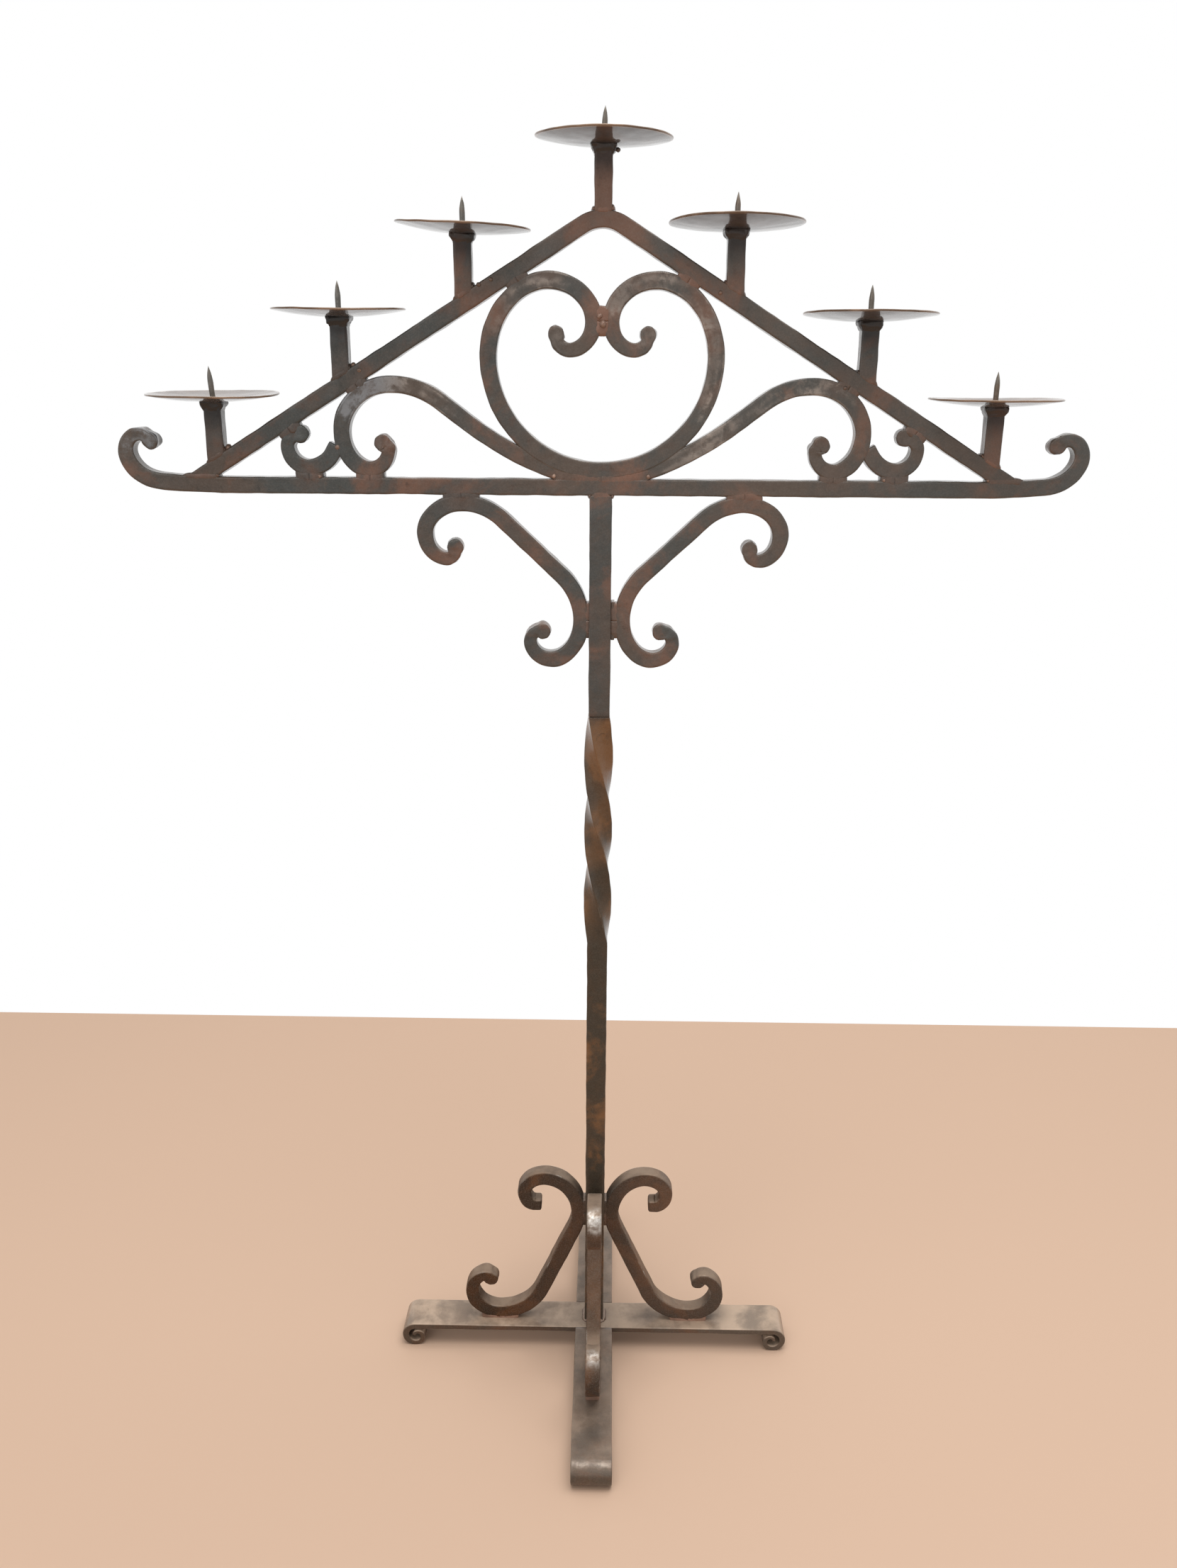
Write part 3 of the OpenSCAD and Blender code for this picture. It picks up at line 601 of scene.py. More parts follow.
def iron_material(
    name,
    brown=(0.092, 0.068, 0.052),
    grey=(0.057, 0.061, 0.057),
    rust=(0.178, 0.094, 0.062),
    worn=(0.310, 0.262, 0.225),
    dusty_top_light=(0.200, 0.165, 0.135),
    dust_and_top_light=0.3,
    metal=0.2,
    rough=(0.4, 0.62),
    gloss=0.2,
    coat=(0.9, 0.18, 1.28),
    relief=1.0,
    shine=0.0,
    cool=None,
):
    """Aged iron: dark oxide, greenish patches and rust, rubbed places and painted highlights, dust
    and painted top light, soot and painted shade.

    The coat is its weight, roughness and IOR. Shine is how metallic rubbed places and painted
    highlights are, and cool is their colour at the left end of the frame.
    """
    material, shader = new_material(name)
    net = Net(material)
    blotch = net.noise(8.0, detail=4.0, rough=0.58, warp=0.5)
    patch = net.noise(12.0, detail=4.0, rough=0.6, warp=0.7, shift=4.1)
    mottle = net.noise(20.0, detail=5.0, rough=0.6, warp=0.25, shift=6.2)
    speck = net.noise(85.0, detail=6.0, rough=0.7, warp=0.3, shift=1.7)
    grain = net.noise(620.0, detail=3.0, rough=0.6)
    hammer = net.noise(62.0, detail=2.0, rough=0.5, warp=0.2, shift=8.3)
    heat = net.attribute("scorch")
    split = net.nodes.new("ShaderNodeSeparateXYZ")
    net.fill(split, {"Vector": net.place})
    to_right = split.outputs["X"]

    # Where its oxide changes colour, where it rusts, where dust and painted top light lie on
    # upward faces, and where it is rubbed bare or carries painted highlights
    fine = net.math("MULTIPLY", speck, 0.35)
    broken = net.math("ADD", blotch, fine)
    broken = net.math("ADD", broken, net.steps(to_right, -0.35, 0.3, 0.035, 0.02))
    rusty = net.math("ADD", net.math("ADD", patch, fine), net.math("MULTIPLY", heat, 0.12))
    settled_and_top_lit = net.math("MULTIPLY", net.attribute("dust_and_top_light"), net.steps(mottle, 0.66, 0.4, 0.38, 1.0))
    ragged = net.math("MULTIPLY", net.attribute("wear"), net.steps(speck, 0.3, 0.7, 0.35, 1.5))
    rubbed_and_highlit = net.steps(ragged, 0.15, 0.95, 0.0, 0.85)
    bright, dim = (tuple(share * c for c in worn) for share in (1.3, 0.72))
    bare_metal_and_highlight = net.mix(net.steps(mottle, 0.4, 0.6), bright, dim)
    if cool:
        bare_metal_and_highlight = net.mix(net.steps(to_right, -0.25, -0.2), cool, bare_metal_and_highlight)

    # Its colours from the lowest up, each with how much it covers what is below
    colour = brown
    for cover, paint in (
        (net.steps(broken, 0.56, 0.8), grey),
        (net.steps(rusty, 0.66, 0.89), rust),
        (net.math("MULTIPLY", heat, 0.5), rust),
        (net.steps(speck, 0.57, 0.72, 0.0, 0.55), tuple(0.45 * c for c in brown)),
        (net.steps(to_right, -0.25, 0.15, 0.0, 0.08), worn),
        (net.steps(grain, 0.35, 0.8, 0.0, 0.12), worn),
        # Dust, with painted top light on the upward faces
        (net.math("MULTIPLY", settled_and_top_lit, dust_and_top_light), dusty_top_light),
        # Rubbed places, and painted highlights
        (rubbed_and_highlit, bare_metal_and_highlight),
        # Soot, and painted shade under the pans and the base scrolls
        (net.math("MULTIPLY", net.attribute("soot_and_shade"), 0.85), SOOT_AND_SHADE),
    ):
        colour = net.mix(cover, colour, paint)

    # Gloss
    dull = net.math("ADD", speck, net.math("MULTIPLY", rusty, 0.3))
    dull = net.steps(dull, 0.55, 0.95, *rough)
    dull = net.math("SUBTRACT", dull, net.math("MULTIPLY", rubbed_and_highlit, 0.14 + 0.1 * shine))
    gleam = {"Metallic": metal, "Specular IOR Level": gloss}
    gleam |= zip(("Coat Weight", "Coat Roughness", "Coat IOR"), coat)
    net.fill(shader, {"Base Color": colour, "Roughness": dull, **gleam})
    if shine:
        bare = net.math("ADD", net.math("MULTIPLY", rubbed_and_highlit, shine), metal)
        net.fill(shader, {"Metallic": bare})

    # Relief in metres, from coarse to fine
    below = {}
    for height, depth in ((hammer, 0.0014), (speck, 0.0005), (grain, 0.0001)):
        bump = net.nodes.new("ShaderNodeBump")
        strength = {"Strength": 1.0, "Distance": depth * relief}
        net.fill(bump, {"Height": height, **strength, **below})
        below = {"Normal": bump.outputs["Normal"]}
    net.fill(shader, below)
    return material


FRAME_IRON = iron_material("wrought_iron", cool=(0.258, 0.265, 0.276))
POST_IRON = iron_material(
    "post_iron",
    brown=(0.059, 0.037, 0.021),
    grey=(0.038, 0.031, 0.021),
    rust=(0.205, 0.096, 0.036),
    worn=(0.280, 0.235, 0.190),
)
# Its pale dusty colour is painted top light on the upward faces, and its pale worn colour is a
# painted highlight
BASE_IRON = iron_material(
    "base_iron",
    brown=(0.078, 0.034, 0.013),
    grey=(0.043, 0.023, 0.011),
    rust=(0.132, 0.054, 0.018),
    worn=(0.560, 0.530, 0.490),
    dusty_top_light=(0.345, 0.250, 0.180),
    dust_and_top_light=0.85,
    gloss=0.05,
    coat=(0.2, 0.2, 1.25),
    shine=0.75,
)
# The pale dusty colour of the feet is painted top light on their upper faces, as well as dust
FOOT_IRON = iron_material(
    "foot_iron",
    brown=(0.092, 0.055, 0.034),
    grey=(0.074, 0.060, 0.047),
    rust=(0.140, 0.068, 0.036),
    worn=(0.440, 0.360, 0.290),
    dusty_top_light=(0.585, 0.430, 0.312),
    dust_and_top_light=0.97,
    metal=0.15,
    rough=(0.45, 0.66),
)
FRONT_FOOT_IRON = iron_material(
    "front_foot_iron",
    brown=(0.090, 0.054, 0.033),
    grey=(0.074, 0.060, 0.047),
    rust=(0.150, 0.072, 0.036),
    worn=(0.440, 0.360, 0.290),
    dusty_top_light=(0.365, 0.265, 0.195),
    dust_and_top_light=0.8,
    metal=0.15,
    rough=(0.40, 0.60),
    shine=0.6,
)
PAN_IRON = iron_material(
    "pan_iron",
    brown=(0.074, 0.056, 0.047),
    grey=(0.067, 0.057, 0.053),
    rust=(0.108, 0.066, 0.047),
    worn=(0.220, 0.142, 0.092),
    dusty_top_light=(0.230, 0.170, 0.140),
    dust_and_top_light=0.5,
    rough=(0.42, 0.55),
    gloss=0.1,
    coat=(1.0, 0.07, 1.28),
    relief=0.07,
)
SPIKE_IRON = iron_material(
    "spike_iron",
    brown=(0.120, 0.096, 0.074),
    grey=(0.130, 0.122, 0.108),
    rust=(0.160, 0.100, 0.064),
    worn=(0.320, 0.285, 0.240),
    dusty_top_light=(0.200, 0.170, 0.140),
    metal=0.4,
    rough=(0.34, 0.55),
)
WELD_IRON = iron_material("weld_iron", rust=(0.215, 0.112, 0.076), worn=(0.400, 0.265, 0.200))
BASE_WELD_IRON = iron_material(
    "base_weld_iron",
    brown=(0.066, 0.040, 0.026),
    grey=(0.052, 0.040, 0.031),
    rust=(0.420, 0.250, 0.180),
    worn=(0.380, 0.275, 0.215),
    dusty_top_light=(0.420, 0.300, 0.225),
    dust_and_top_light=0.8,
)

# Rail and gable

rail_low, rail_high = node_box("rail")
rail_z = rail_low[2]
rail_top = rail_z + BAR_W
seated_z = rail_top + BAR_W / 2
curl_bar = stations(trace(RAIL_SHARE, RAIL_CURL_R), End(BAR_W))
rail_run = rail_high[0] - outline(curl_bar)[:, 0].max()
half_rail = trace([rail_run, *RAIL_SHARE], RAIL_CURL_R, (0, rail_z + BAR_W / 2))
rail_bar = stations(both_sides(half_rail))
forge("rail", rail_bar, FRAME_IRON, seed=1, worn=WORN_AND_HIGHLIT_RAIL, streaks=STREAKS)

slope = math.radians(GABLE_ANGLE)
peak_z = node_box("gable")[1][2] - BAR_W / 2
leg_start_z = peak_z - GABLE_BEND_R * (1 - math.cos(slope))
leg_end_z = rail_top - BAR_W / 2 * math.cos(slope) - GABLE_IN_RAIL
leg_run = (leg_start_z - leg_end_z) / math.sin(slope)
half_gable = trace([(-GABLE_ANGLE, 1, 1), leg_run], GABLE_BEND_R, (0, peak_z))
butted = End(BAR_W, sink=30.0)
gable_bar = stations(both_sides(half_gable), butted, butted)
forge("gable", gable_bar, FRAME_IRON, seed=2)
gable_reach = (peak_z - GABLE_BEND_R) * math.cos(slope) + GABLE_BEND_R


def gable_fall(x):
    """Fall of the gable to the right in radians, over a place on the rail."""
    return 0.0 if abs(x) < 1 else math.copysign(slope, x)


def gable_top_z(x):
    """Height of the upper face of the gable over a place on the rail."""
    if abs(x) < 1:
        return peak_z + BAR_W / 2
    middle = (gable_reach - abs(x) * math.sin(slope)) / math.cos(slope)
    return middle + BAR_W / 2 / math.cos(slope)


# Scrolls

ring_line = trace(RING_SHARE, HEART_R, (0, seated_z))
unit_lobe = trace(LOBE_SHARE, HEART_R, heading=180)
lobe_r = (ring_line[-1, 0] - (BAR_W + HEART_GAP) / 2) / -unit_lobe[:, 0].min() * HEART_R
lobe_line = trace(LOBE_SHARE, lobe_r, ring_line[-1, :2], 180)
half_heart = np.concatenate([ring_line[:-1], lobe_line])
heart_bar = stations(both_sides(half_heart))
heart_looks = {"name": "forged_heart", "worn": WORN_AND_HIGHLIT_HEART, "streaks": STREAKS}
forge("heart_scroll", heart_bar, FRAME_IRON, seed=3, **heart_looks)

arch_route = [*ARCH_SHARE, ARCH_RUN, *ARCH_TAIL_SHARE, TAIL_IN_WELD]
side_line = scroll(ARCH_CURL_SHARE, arch_route, ARCH_R, (0, seated_z))
side_ends = (CURLED, End(BAR_W, sink=60.0))
side_bar = stations(side_line, *side_ends)
side_x = node_box("side_scroll_right")[1][0] - outline(side_bar)[:, 0].max()
side_line += (side_x, 0, 0)

small_tail = [*SMALL_TAIL_SHARE, SMALL_TAIL_RUN_SHARE * SMALL_R]
small_line = scroll(small_tail, SMALL_SHARE, SMALL_R, (0, seated_z + SMALL_GAP))
small_ends = (End(BAR_W, sink=14.0), CURLED, BAR_W, SMALL_R * math.pi)
small_bar = stations(small_line, *small_ends)
small_x = node_box("small_scroll_right")[1][0] - outline(small_bar)[:, 0].max()
small_line += (small_x, 0, 0)

bracket_route = [*KNEE_SHARE, BRACKET_RUN, *BRACKET_CURL_SHARE]
bracket_line = scroll(bracket_route, SHOULDER_CURL_SHARE, BRACKET_R)
bracket_bar = stations(bracket_line)
bracket_x = node_box("bracket_right")[0][0] - outline(bracket_bar)[:, 0].min()
bracket_line += (bracket_x, rail_z - BAR_W / 2, 0)
plate_low, plate_high = node_box("bracket_spacer")
plate_t = plate_high[0] - plate_low[0]

side_bars = {}
small_bars = {}
bracket_bars = {}
for seed, side, worn in ((11, "right", WORN_AND_HIGHLIT_SIDE_RIGHT), (12, "left", WORN_AND_HIGHLIT_SIDE_LEFT)):
    flip = mirrored if side == "left" else np.copy
    packed = plate_t if side == "right" else 0
    side_bars[side] = stations(flip(side_line), *side_ends)
    small_bars[side] = stations(flip(small_line), *small_ends)
    bracket_bars[side] = stations(flip(bracket_line + (packed - plate_t, 0, 0)))
    forge(f"side_scroll_{side}", side_bars[side], FRAME_IRON, seed, worn=worn, streaks=STREAKS)
    forge(f"small_scroll_{side}", small_bars[side], FRAME_IRON, seed + 10)
    forge(f"bracket_{side}", bracket_bars[side], FRAME_IRON, seed + 20)

plate_end = End(plate_t, rounding=PLATE_R)
plate_run = plate_high[2] - plate_low[2] - 2 * PLATE_R
plate_foot = ((plate_low[0] + plate_high[0]) / 2, plate_low[2] + PLATE_R)
plate_bar = stations(trace([plate_run], 1, plate_foot, 90), plate_end, plate_end, plate_t)
plate_looks = {"depth": BAR_W - PLATE_SUNK, "corner": PLATE_R, "name": "packing_plate"}
forge("bracket_spacer", plate_bar, FRAME_IRON, seed=40, **plate_looks)

# Post

post_low, post_high = node_box("lower_post")
upper_low, upper_high = node_box("upper_post")


def post_rings(low, high, twist_start):
    """Rings of the square post between two heights, twisted from a third one up."""
    first, last = low + POST_END_R, high - POST_END_R
    line = np.array([(0.0, z, 90.0) for z in (*np.arange(first, last, LENGTH_STEP), last)])
    end = End(POST_W, rounding=POST_END_R)
    rings = rings_of(stations(line, end, end, POST_W), POST_W, POST_CORNER)
    share = ramp(rings[..., 2], twist_start, twist_start + TWIST_H)
    eased = share - TWIST_EASE * np.sin(2 * np.pi * share)
    return roughened(turned(rings, -TWIST_TURN * eased), HAMMERED, FIELD)


twist_start = post_high[2] - TWIST_H
rings = post_rings(post_low[2], post_high[2], twist_start)
height = rings[..., 2]
twist_heat = ramp(height, twist_start, twist_start + 40) * (0.48 + 1.2 * noise_at(rings, 34.0, 52))
lower_marks = {
    "wear": wear_and_highlight_of(rings),
    "heat": np.clip(twist_heat, 0, 1),
    "soot_and_shade": 0.6 * ramp(np.abs(height - post_high[2]), 6, 1),
}
build_piece("forged_lower_post", POST_IRON, "lower_post", rings, **lower_marks)

rings = post_rings(upper_low[2], upper_high[2], upper_high[2] + TWIST_H)
height = rings[..., 2]
reach_in = ramp(height, upper_high[2] - POST_TOP_TAPER, upper_high[2])
rings[..., 1] *= 1 - (1 - POST_TOP_DEPTH / POST_W) * reach_in**2 * (3 - 2 * reach_in)
upper_marks = {
    "wear": wear_and_highlight_of(rings),
    "heat": heat_of(rings),
    "soot_and_shade": np.clip(0.52 - (height - upper_low[2]) / 14, 0.12, 0.42),
}
build_piece("forged_upper_post", FRAME_IRON, "upper_post", rings, **upper_marks)

# Feet

foot_top = post_low[2]
foot_z = foot_top - FOOT_T / 2
roll_end = End(ROLL_TIP_SHARE * FOOT_T, rounding=ROLL_END_R)
roll_looks = (roll_end, FOOT_T, ROLL_R * math.pi)
roll_bar = stations(trace(ROLL_SHARE, ROLL_R), End(FOOT_T), *roll_looks)
foot_run = node_box("foot_bar")[1][0] - outline(roll_bar)[:, 0].max()
half_foot = trace([foot_run, *ROLL_SHARE], ROLL_R, (0, foot_z))
foot_bar = stations(both_sides(half_foot), roll_end, *roll_looks)
arm_line = trace([foot_run - FOOT_W / 2, *ROLL_SHARE], ROLL_R, (FOOT_W / 2, foot_z))
arm_bar = stations(arm_line, End(FOOT_T), *roll_looks)
flat_looks = {"depth": FOOT_W, "slot": "foot_iron", "corner": FOOT_CORNER, "stains_and_shade": STAINS_AND_SHADE}
flat_looks |= {"template": FLAT_SECTION, "layers": FLAT_HAMMERED}
forge("foot_bar", foot_bar, FOOT_IRON, 60, **flat_looks)
# The front foot's roll gets a painted highlight along its crest
forge("front_foot", arm_bar, FRONT_FOOT_IRON, 61, turn=-90, worn=HIGHLIGHTS_FRONT_FOOT, **flat_looks)
forge("rear_foot", arm_bar, FRONT_FOOT_IRON, 62, turn=90, **flat_looks)

base_route = [*BASE_KNEE_SHARE, BASE_RUN, *BASE_TOP_SHARE, BASE_TIP_SHARE * BASE_R]
base_line = scroll(base_route, BASE_CURL_SHARE, BASE_R)
base_ends = (End(BASE_TIP_W_SHARE * BASE_BAR_W, rounding=BASE_TIP_R), CURLED, BASE_BAR_W)
base_bar = stations(base_line, *base_ends)
base_x = node_box("base_scroll_right")[0][0] - outline(base_bar)[:, 0].min()
base_line += (base_x, foot_top + BASE_BAR_W / 2, 0)
base_bar = stations(base_line, *base_ends)
for quarter, side in enumerate(("right", "rear", "left", "front")):
    # The front scroll gets painted highlights on its curls
    base_looks = {"turn": 90 * quarter, "worn": HIGHLIGHTS_BASE_FRONT if side == "front" else ()}
    forge(f"base_scroll_{side}", base_bar, BASE_IRON, 70 + quarter, BASE_BAR_W, **base_looks)

# Prickets


def leaning(points, number, x, top):
    """Points of a pan, turned as it leans and set on its stem."""
    nod = Matrix.Rotation(math.radians(PAN_NOD[number]), 3, "X")
    lean = Matrix.Rotation(math.radians(PAN_LEAN[number]), 3, "Y")
    turn = np.array(lean @ nod)
    return points @ turn.T + (x, 0, top)


def lathed(profile, count):
    """Rings of a turned shape from its radii and heights."""
    angles = np.linspace(0, 2 * np.pi, count, endpoint=False)
    r = np.array([p[0] for p in profile])[:, None]
    z = np.array([p[1] for p in profile])[:, None] + 0 * angles
    return np.stack([r * np.cos(angles), r * np.sin(angles), z], axis=2)


# Radii of a pan's rings within its rim, the rounding of its rim, and its middle without dents
PAN_RADII = [0.4, 6, 12, 18, 24, 30, 36, 42, 48, 53, 58, 62, 65.5, 68.3]
RIM_R = 0.8
PAN_SEAT_R = 14.0

# Waves of the pans: how many go round, their shift from pan to pan, and their height
PAN_WAVES = [(2, 1.3, 0.45), (3, 2.1, 0.3)]
PAN_DENT_H = 0.35
PAN_DENT_SIZE = 16.0


def dish_profile():
    """Half section of a pan, from the middle of its underside round the rim."""
    sag = PAN_DEPTH - PAN_T
    outer = ((PAN_D / 2) ** 2 + sag**2) / (2 * sag)
    inner = outer - PAN_T
    rim = PAN_D / 2 - RIM_R
    radii = [*PAN_RADII, rim]
    below = [(r, outer - math.sqrt(outer**2 - r**2)) for r in radii]
    above = [(r, outer - math.sqrt(inner**2 - r**2)) for r in reversed(radii)]
    middle = (below[-1][1] + above[0][1]) / 2
    half = (above[0][1] - below[-1][1]) / 2
    edge = []
    for angle in (-60, -25, 10, 45, 75):
        out, up = unit(angle)
        edge.append((rim + RIM_R * out, middle + half * up))
    return below + edge + above


def pan_rings(number, x, top):
    """Rings of a pan, warped and dented, and how far each point is from its axis."""
    rings = lathed(dish_profile(), PAN_POINTS)
    radius = np.hypot(rings[..., 0], rings[..., 1])
    angle = np.arctan2(rings[..., 1], rings[..., 0])
    warp = sum(height * np.sin(n * angle + shift * number) for n, shift, height in PAN_WAVES)
    dents = noise_at(rings * (1, 1, 0), PAN_DENT_SIZE, number)
    rings[..., 2] += (radius / (PAN_D / 2)) ** 2 * warp
    rings[..., 2] += PAN_DENT_H * dents * (radius > PAN_SEAT_R)
    return leaning(rings, number, x, top), radius


def spike_rings(number, x, top):
    """Rings of a spike: a small weld at its foot, a shank and a curved point."""
    spike_r = SPIKE_D / 2
    curve = (SPIKE_POINT_H**2 + spike_r**2) / SPIKE_D
    shank_h = SPIKE_H - SPIKE_POINT_H
    profile = [(spike_r - 0.1, 0.6), (spike_r + 0.3, 1.6)]
    profile += [(spike_r, z) for z in (2.6, 7, 12, shank_h)]
    for share in (0.15, 0.3, 0.45, 0.6, 0.74, 0.86, 0.95, 0.995):
        z = share * SPIKE_POINT_H
        r = spike_r - curve + math.sqrt(curve**2 - z**2)
        profile.append((max(r, 0.12), shank_h + z))
    rings = roughened(lathed(profile, SPIKE_POINTS), FILED, number + 80)
    rings[..., 0] += np.maximum(rings[..., 2], 0) * math.tan(math.radians(SPIKE_LEAN[number]))
    rings[..., 2] = np.minimum(rings[..., 2], SPIKE_H - 0.05)
    return rings + (x, 0, top)


def stem_rings(x, top):
    """Rings of a stem, whose foot is cut to the slope of the gable."""
    bottom = gable_top_z(x) - STEM_IN_GABLE
    line = trace([top + STEM_IN_PAN - bottom], 1, (x, bottom), 90)
    rings = rings_of(stations(line, End(STEM_W, sink=5.0), End(STEM_W), STEM_W), STEM_W)
    cut = math.tan(gable_fall(x)) * (rings[..., 0] - x)
    rings[..., 2] -= cut * ramp(rings[..., 2] - bottom, 24, 0)
    return roughened(rings, HAMMERED, FIELD)


# Weld round the top of a stem: how far it stands out of the stem, and its height
COLLAR_PROFILE = [(-1.6, -11.5), (-0.4, -10.2), (0.5, -8.8), (1.2, -7.2), (2.2, -5.8)]
COLLAR_PROFILE += [(3.0, -4.4), (3.5, -3.0), (3.7, -1.6), (3.8, -0.4), (3.7, 0.5), (3.0, 1.0)]
COLLAR_SQUARENESS = 0.26


def collar_rings(number, x, top):
    """Lumpy weld round the top of a stem, under its pan."""
    angles = np.linspace(0, 2 * np.pi, COLLAR_POINTS, endpoint=False)
    ways = np.array([np.cos(angles), np.sin(angles)])
    wide, deep = np.sign(ways) * np.abs(ways) ** COLLAR_SQUARENESS
    ears = 0.55 + 0.45 * np.abs(np.cos(angles)) ** 1.5
    rows = []
    for out, z in COLLAR_PROFILE:
        size = STEM_W / 2 + (out * ears if out > 0 else out)
        rows.append(np.stack([size * wide, size * deep, z + 0 * angles], axis=1))
    rings = np.array(rows)
    lumps = np.clip((rings[..., 2] + 12) / 6, 0.15, 1)
    return leaning(roughened(rings, COLLARED, number + 120, lumps), number, x, top)


def stem_marks(number, rings, x, top):
    """Wear, red heat at the foot, and painted shade from the pan at the head of a stem."""
    foot_heat = 0.4 * ramp(rings[..., 2] - gable_top_z(x), 26.4, 4.4)
    head_shade = 0.9 * ramp(top - rings[..., 2], 37, 15)
    return {
        "wear": wear_and_highlight_of(rings),
        "heat": np.maximum(foot_heat, STEM_HEAT[number]),
        "soot_and_shade": head_shade,
    }


def pan_marks(number, rings, radius):
    """Bright rim of a pan, and its middle darker: burnt above, and painted shade and reflection of
    the stem below, darker below than above.
    """
    under = np.arange(len(rings))[:, None] < len(rings) / 2
    spread = 14 + 5 * noise_at(rings, 20.0, number + 140)
    burnt_and_shaded = np.clip(1.1 - (radius - spread) / 14, 0, 1)
    return {"wear": 2 * ramp(radius, 68, 70.5), "soot_and_shade": burnt_and_shaded * np.where(under, 0.9, 0.55)}


stem_places = []
for number in range(7):
    label = number + 1
    spike_low, spike_high = node_box(f"spike_{label}")
    x = (spike_low[0] + spike_high[0]) / 2
    top = spike_low[2] + TANG_H
    stem_places.append((x, top))
    rings = stem_rings(x, top)
    marks = stem_marks(number, rings, x, top)
    build_piece(f"forged_stem_{label}", FRAME_IRON, f"stem_{label}", rings, **marks)
    rings, radius = pan_rings(number, x, top)
    marks = pan_marks(number, rings, radius)
    build_piece(f"dished_pan_{label}", PAN_IRON, f"pan_{label}", rings, "pan_iron", **marks)
    rings = spike_rings(number, x, top)
    marks = {"slot": "spike_steel", "wear": ramp(rings[..., 2] - top, 18, 48)}
    build_piece(f"pointed_spike_{label}", SPIKE_IRON, f"spike_{label}", rings, **marks)

# Welds

# How far a weld runs on to the bars beside it, stands out of their faces, and dips there
WELD_LAP = 5.0
WELD_PROUD = 0.18
WELD_DIP = 0.75
WELD_STEP = 2.0
PILLOW = np.linspace(-1, 1, 9)

# Highest wedge of weld, and how far each kind runs to either side of where bars touch
WEDGE_H = 11.0
HEART_WELD = 52.0
SCROLL_WELD = 14.0
GABLE_WELD = 12.0
BRACKET_WELD = 19.0
BASE_FOOT_WELD = 24.0

# Heat of ordinary weld metal, of the lobes' weld and of the welds on the feet
WELD_HEAT = 0.3
LOBE_HEAT = 1.2
FOOT_WELD_HEAT = 0.9

# Beads in corners: their steps, how deep they sit, and how high and long their ripples are
BEAD_STEP = 1.4
BEAD_SUNK = 0.8
RIPPLE_SHARE = 0.12
RIPPLE_RUN = 3.2

X_WAY = np.array([1.0, 0.0])
Z_WAY = np.array([0.0, 1.0])


def gap_over(polygon, seat, along, up, distance):
    """How high a bar stands over the flat that it is seated on, at a distance along it."""
    flat = (polygon - seat) @ np.array([along, up]).T
    nearby = np.roll(flat, -1, axis=0)
    crossing = (flat[:, 0] - distance) * (nearby[:, 0] - distance) < 0
    a = flat[crossing]
    b = nearby[crossing]
    heights = a[:, 1] + (b[:, 1] - a[:, 1]) * (distance - a[:, 0]) / (b[:, 0] - a[:, 0])
    heights = heights[heights > -2.0]
    return float(heights.min()) if len(heights) else 0.0


def pillow_ring(place, up, low, high, half):
    """Ring of a weld: its front and back bulge, and its edges dip into the bars."""
    n = (low + high) / 2 + (high - low) / 2 * PILLOW
    y = half - WELD_DIP * np.abs(PILLOW) ** 2.5
    n = np.concatenate([n, n[::-1]])
    y = np.concatenate([-y, y[::-1]])
    return np.stack([place[0] + n * up[0], y, place[1] + n * up[1]], axis=1)


def pillow(shape, rows, seed, turn=0, heat=WELD_HEAT):
    rings = roughened(turned(np.array(rows), turn), HAMMERED, FIELD)
    shape.add(roughened(rings, BEADED, seed, 0.3), heat=heat)


def wedges(shape, polygon, seat, along, up, length, seed, depth=BAR_W, lap=WELD_LAP, **looks):
    """Welds that fill the wedges to both sides of where a curved bar touches a flat."""
    count = max(5, round(length / WELD_STEP))
    for later, way in enumerate((along, -along)):
        rows = []
        for k in range(count + 1):
            distance = length * k / count
            height = min(gap_over(polygon, seat, way, up, max(distance, 0.4)), WEDGE_H)
            half = depth / 2 + WELD_PROUD - 0.8 * (k / count) ** 4
            rows.append(pillow_ring(seat + way * distance, up, -lap, height + lap, half))
        for past, edge, dip in ((0.8, 0.9, 0.5), (1.3, 0.1, 1.4)):
            place = seat + way * (length + past)
            rows.append(pillow_ring(place, up, -edge, height + edge, half - dip))
        pillow(shape, rows, seed + later, **looks)


def strip(shape, start, end, up, lap, depth, seed, heat=WELD_HEAT):
    """Weld along a seam between two bars whose fronts are level."""
    start, end, up = (np.array(v, float) for v in (start, end, up))
    count = max(5, round(np.linalg.norm(end - start) / WELD_STEP))
    rows = []
    for k in range(count + 1):
        place = start + (end - start) * k / count
        near_end = max(0.0, 1 - min(k, count - k) / 2)
        size = lap * (1 - 0.4 * near_end)
        rows.append(pillow_ring(place, up, -size, size, depth / 2 + WELD_PROUD - 0.9 * near_end))
    pillow(shape, rows, seed, heat=heat)


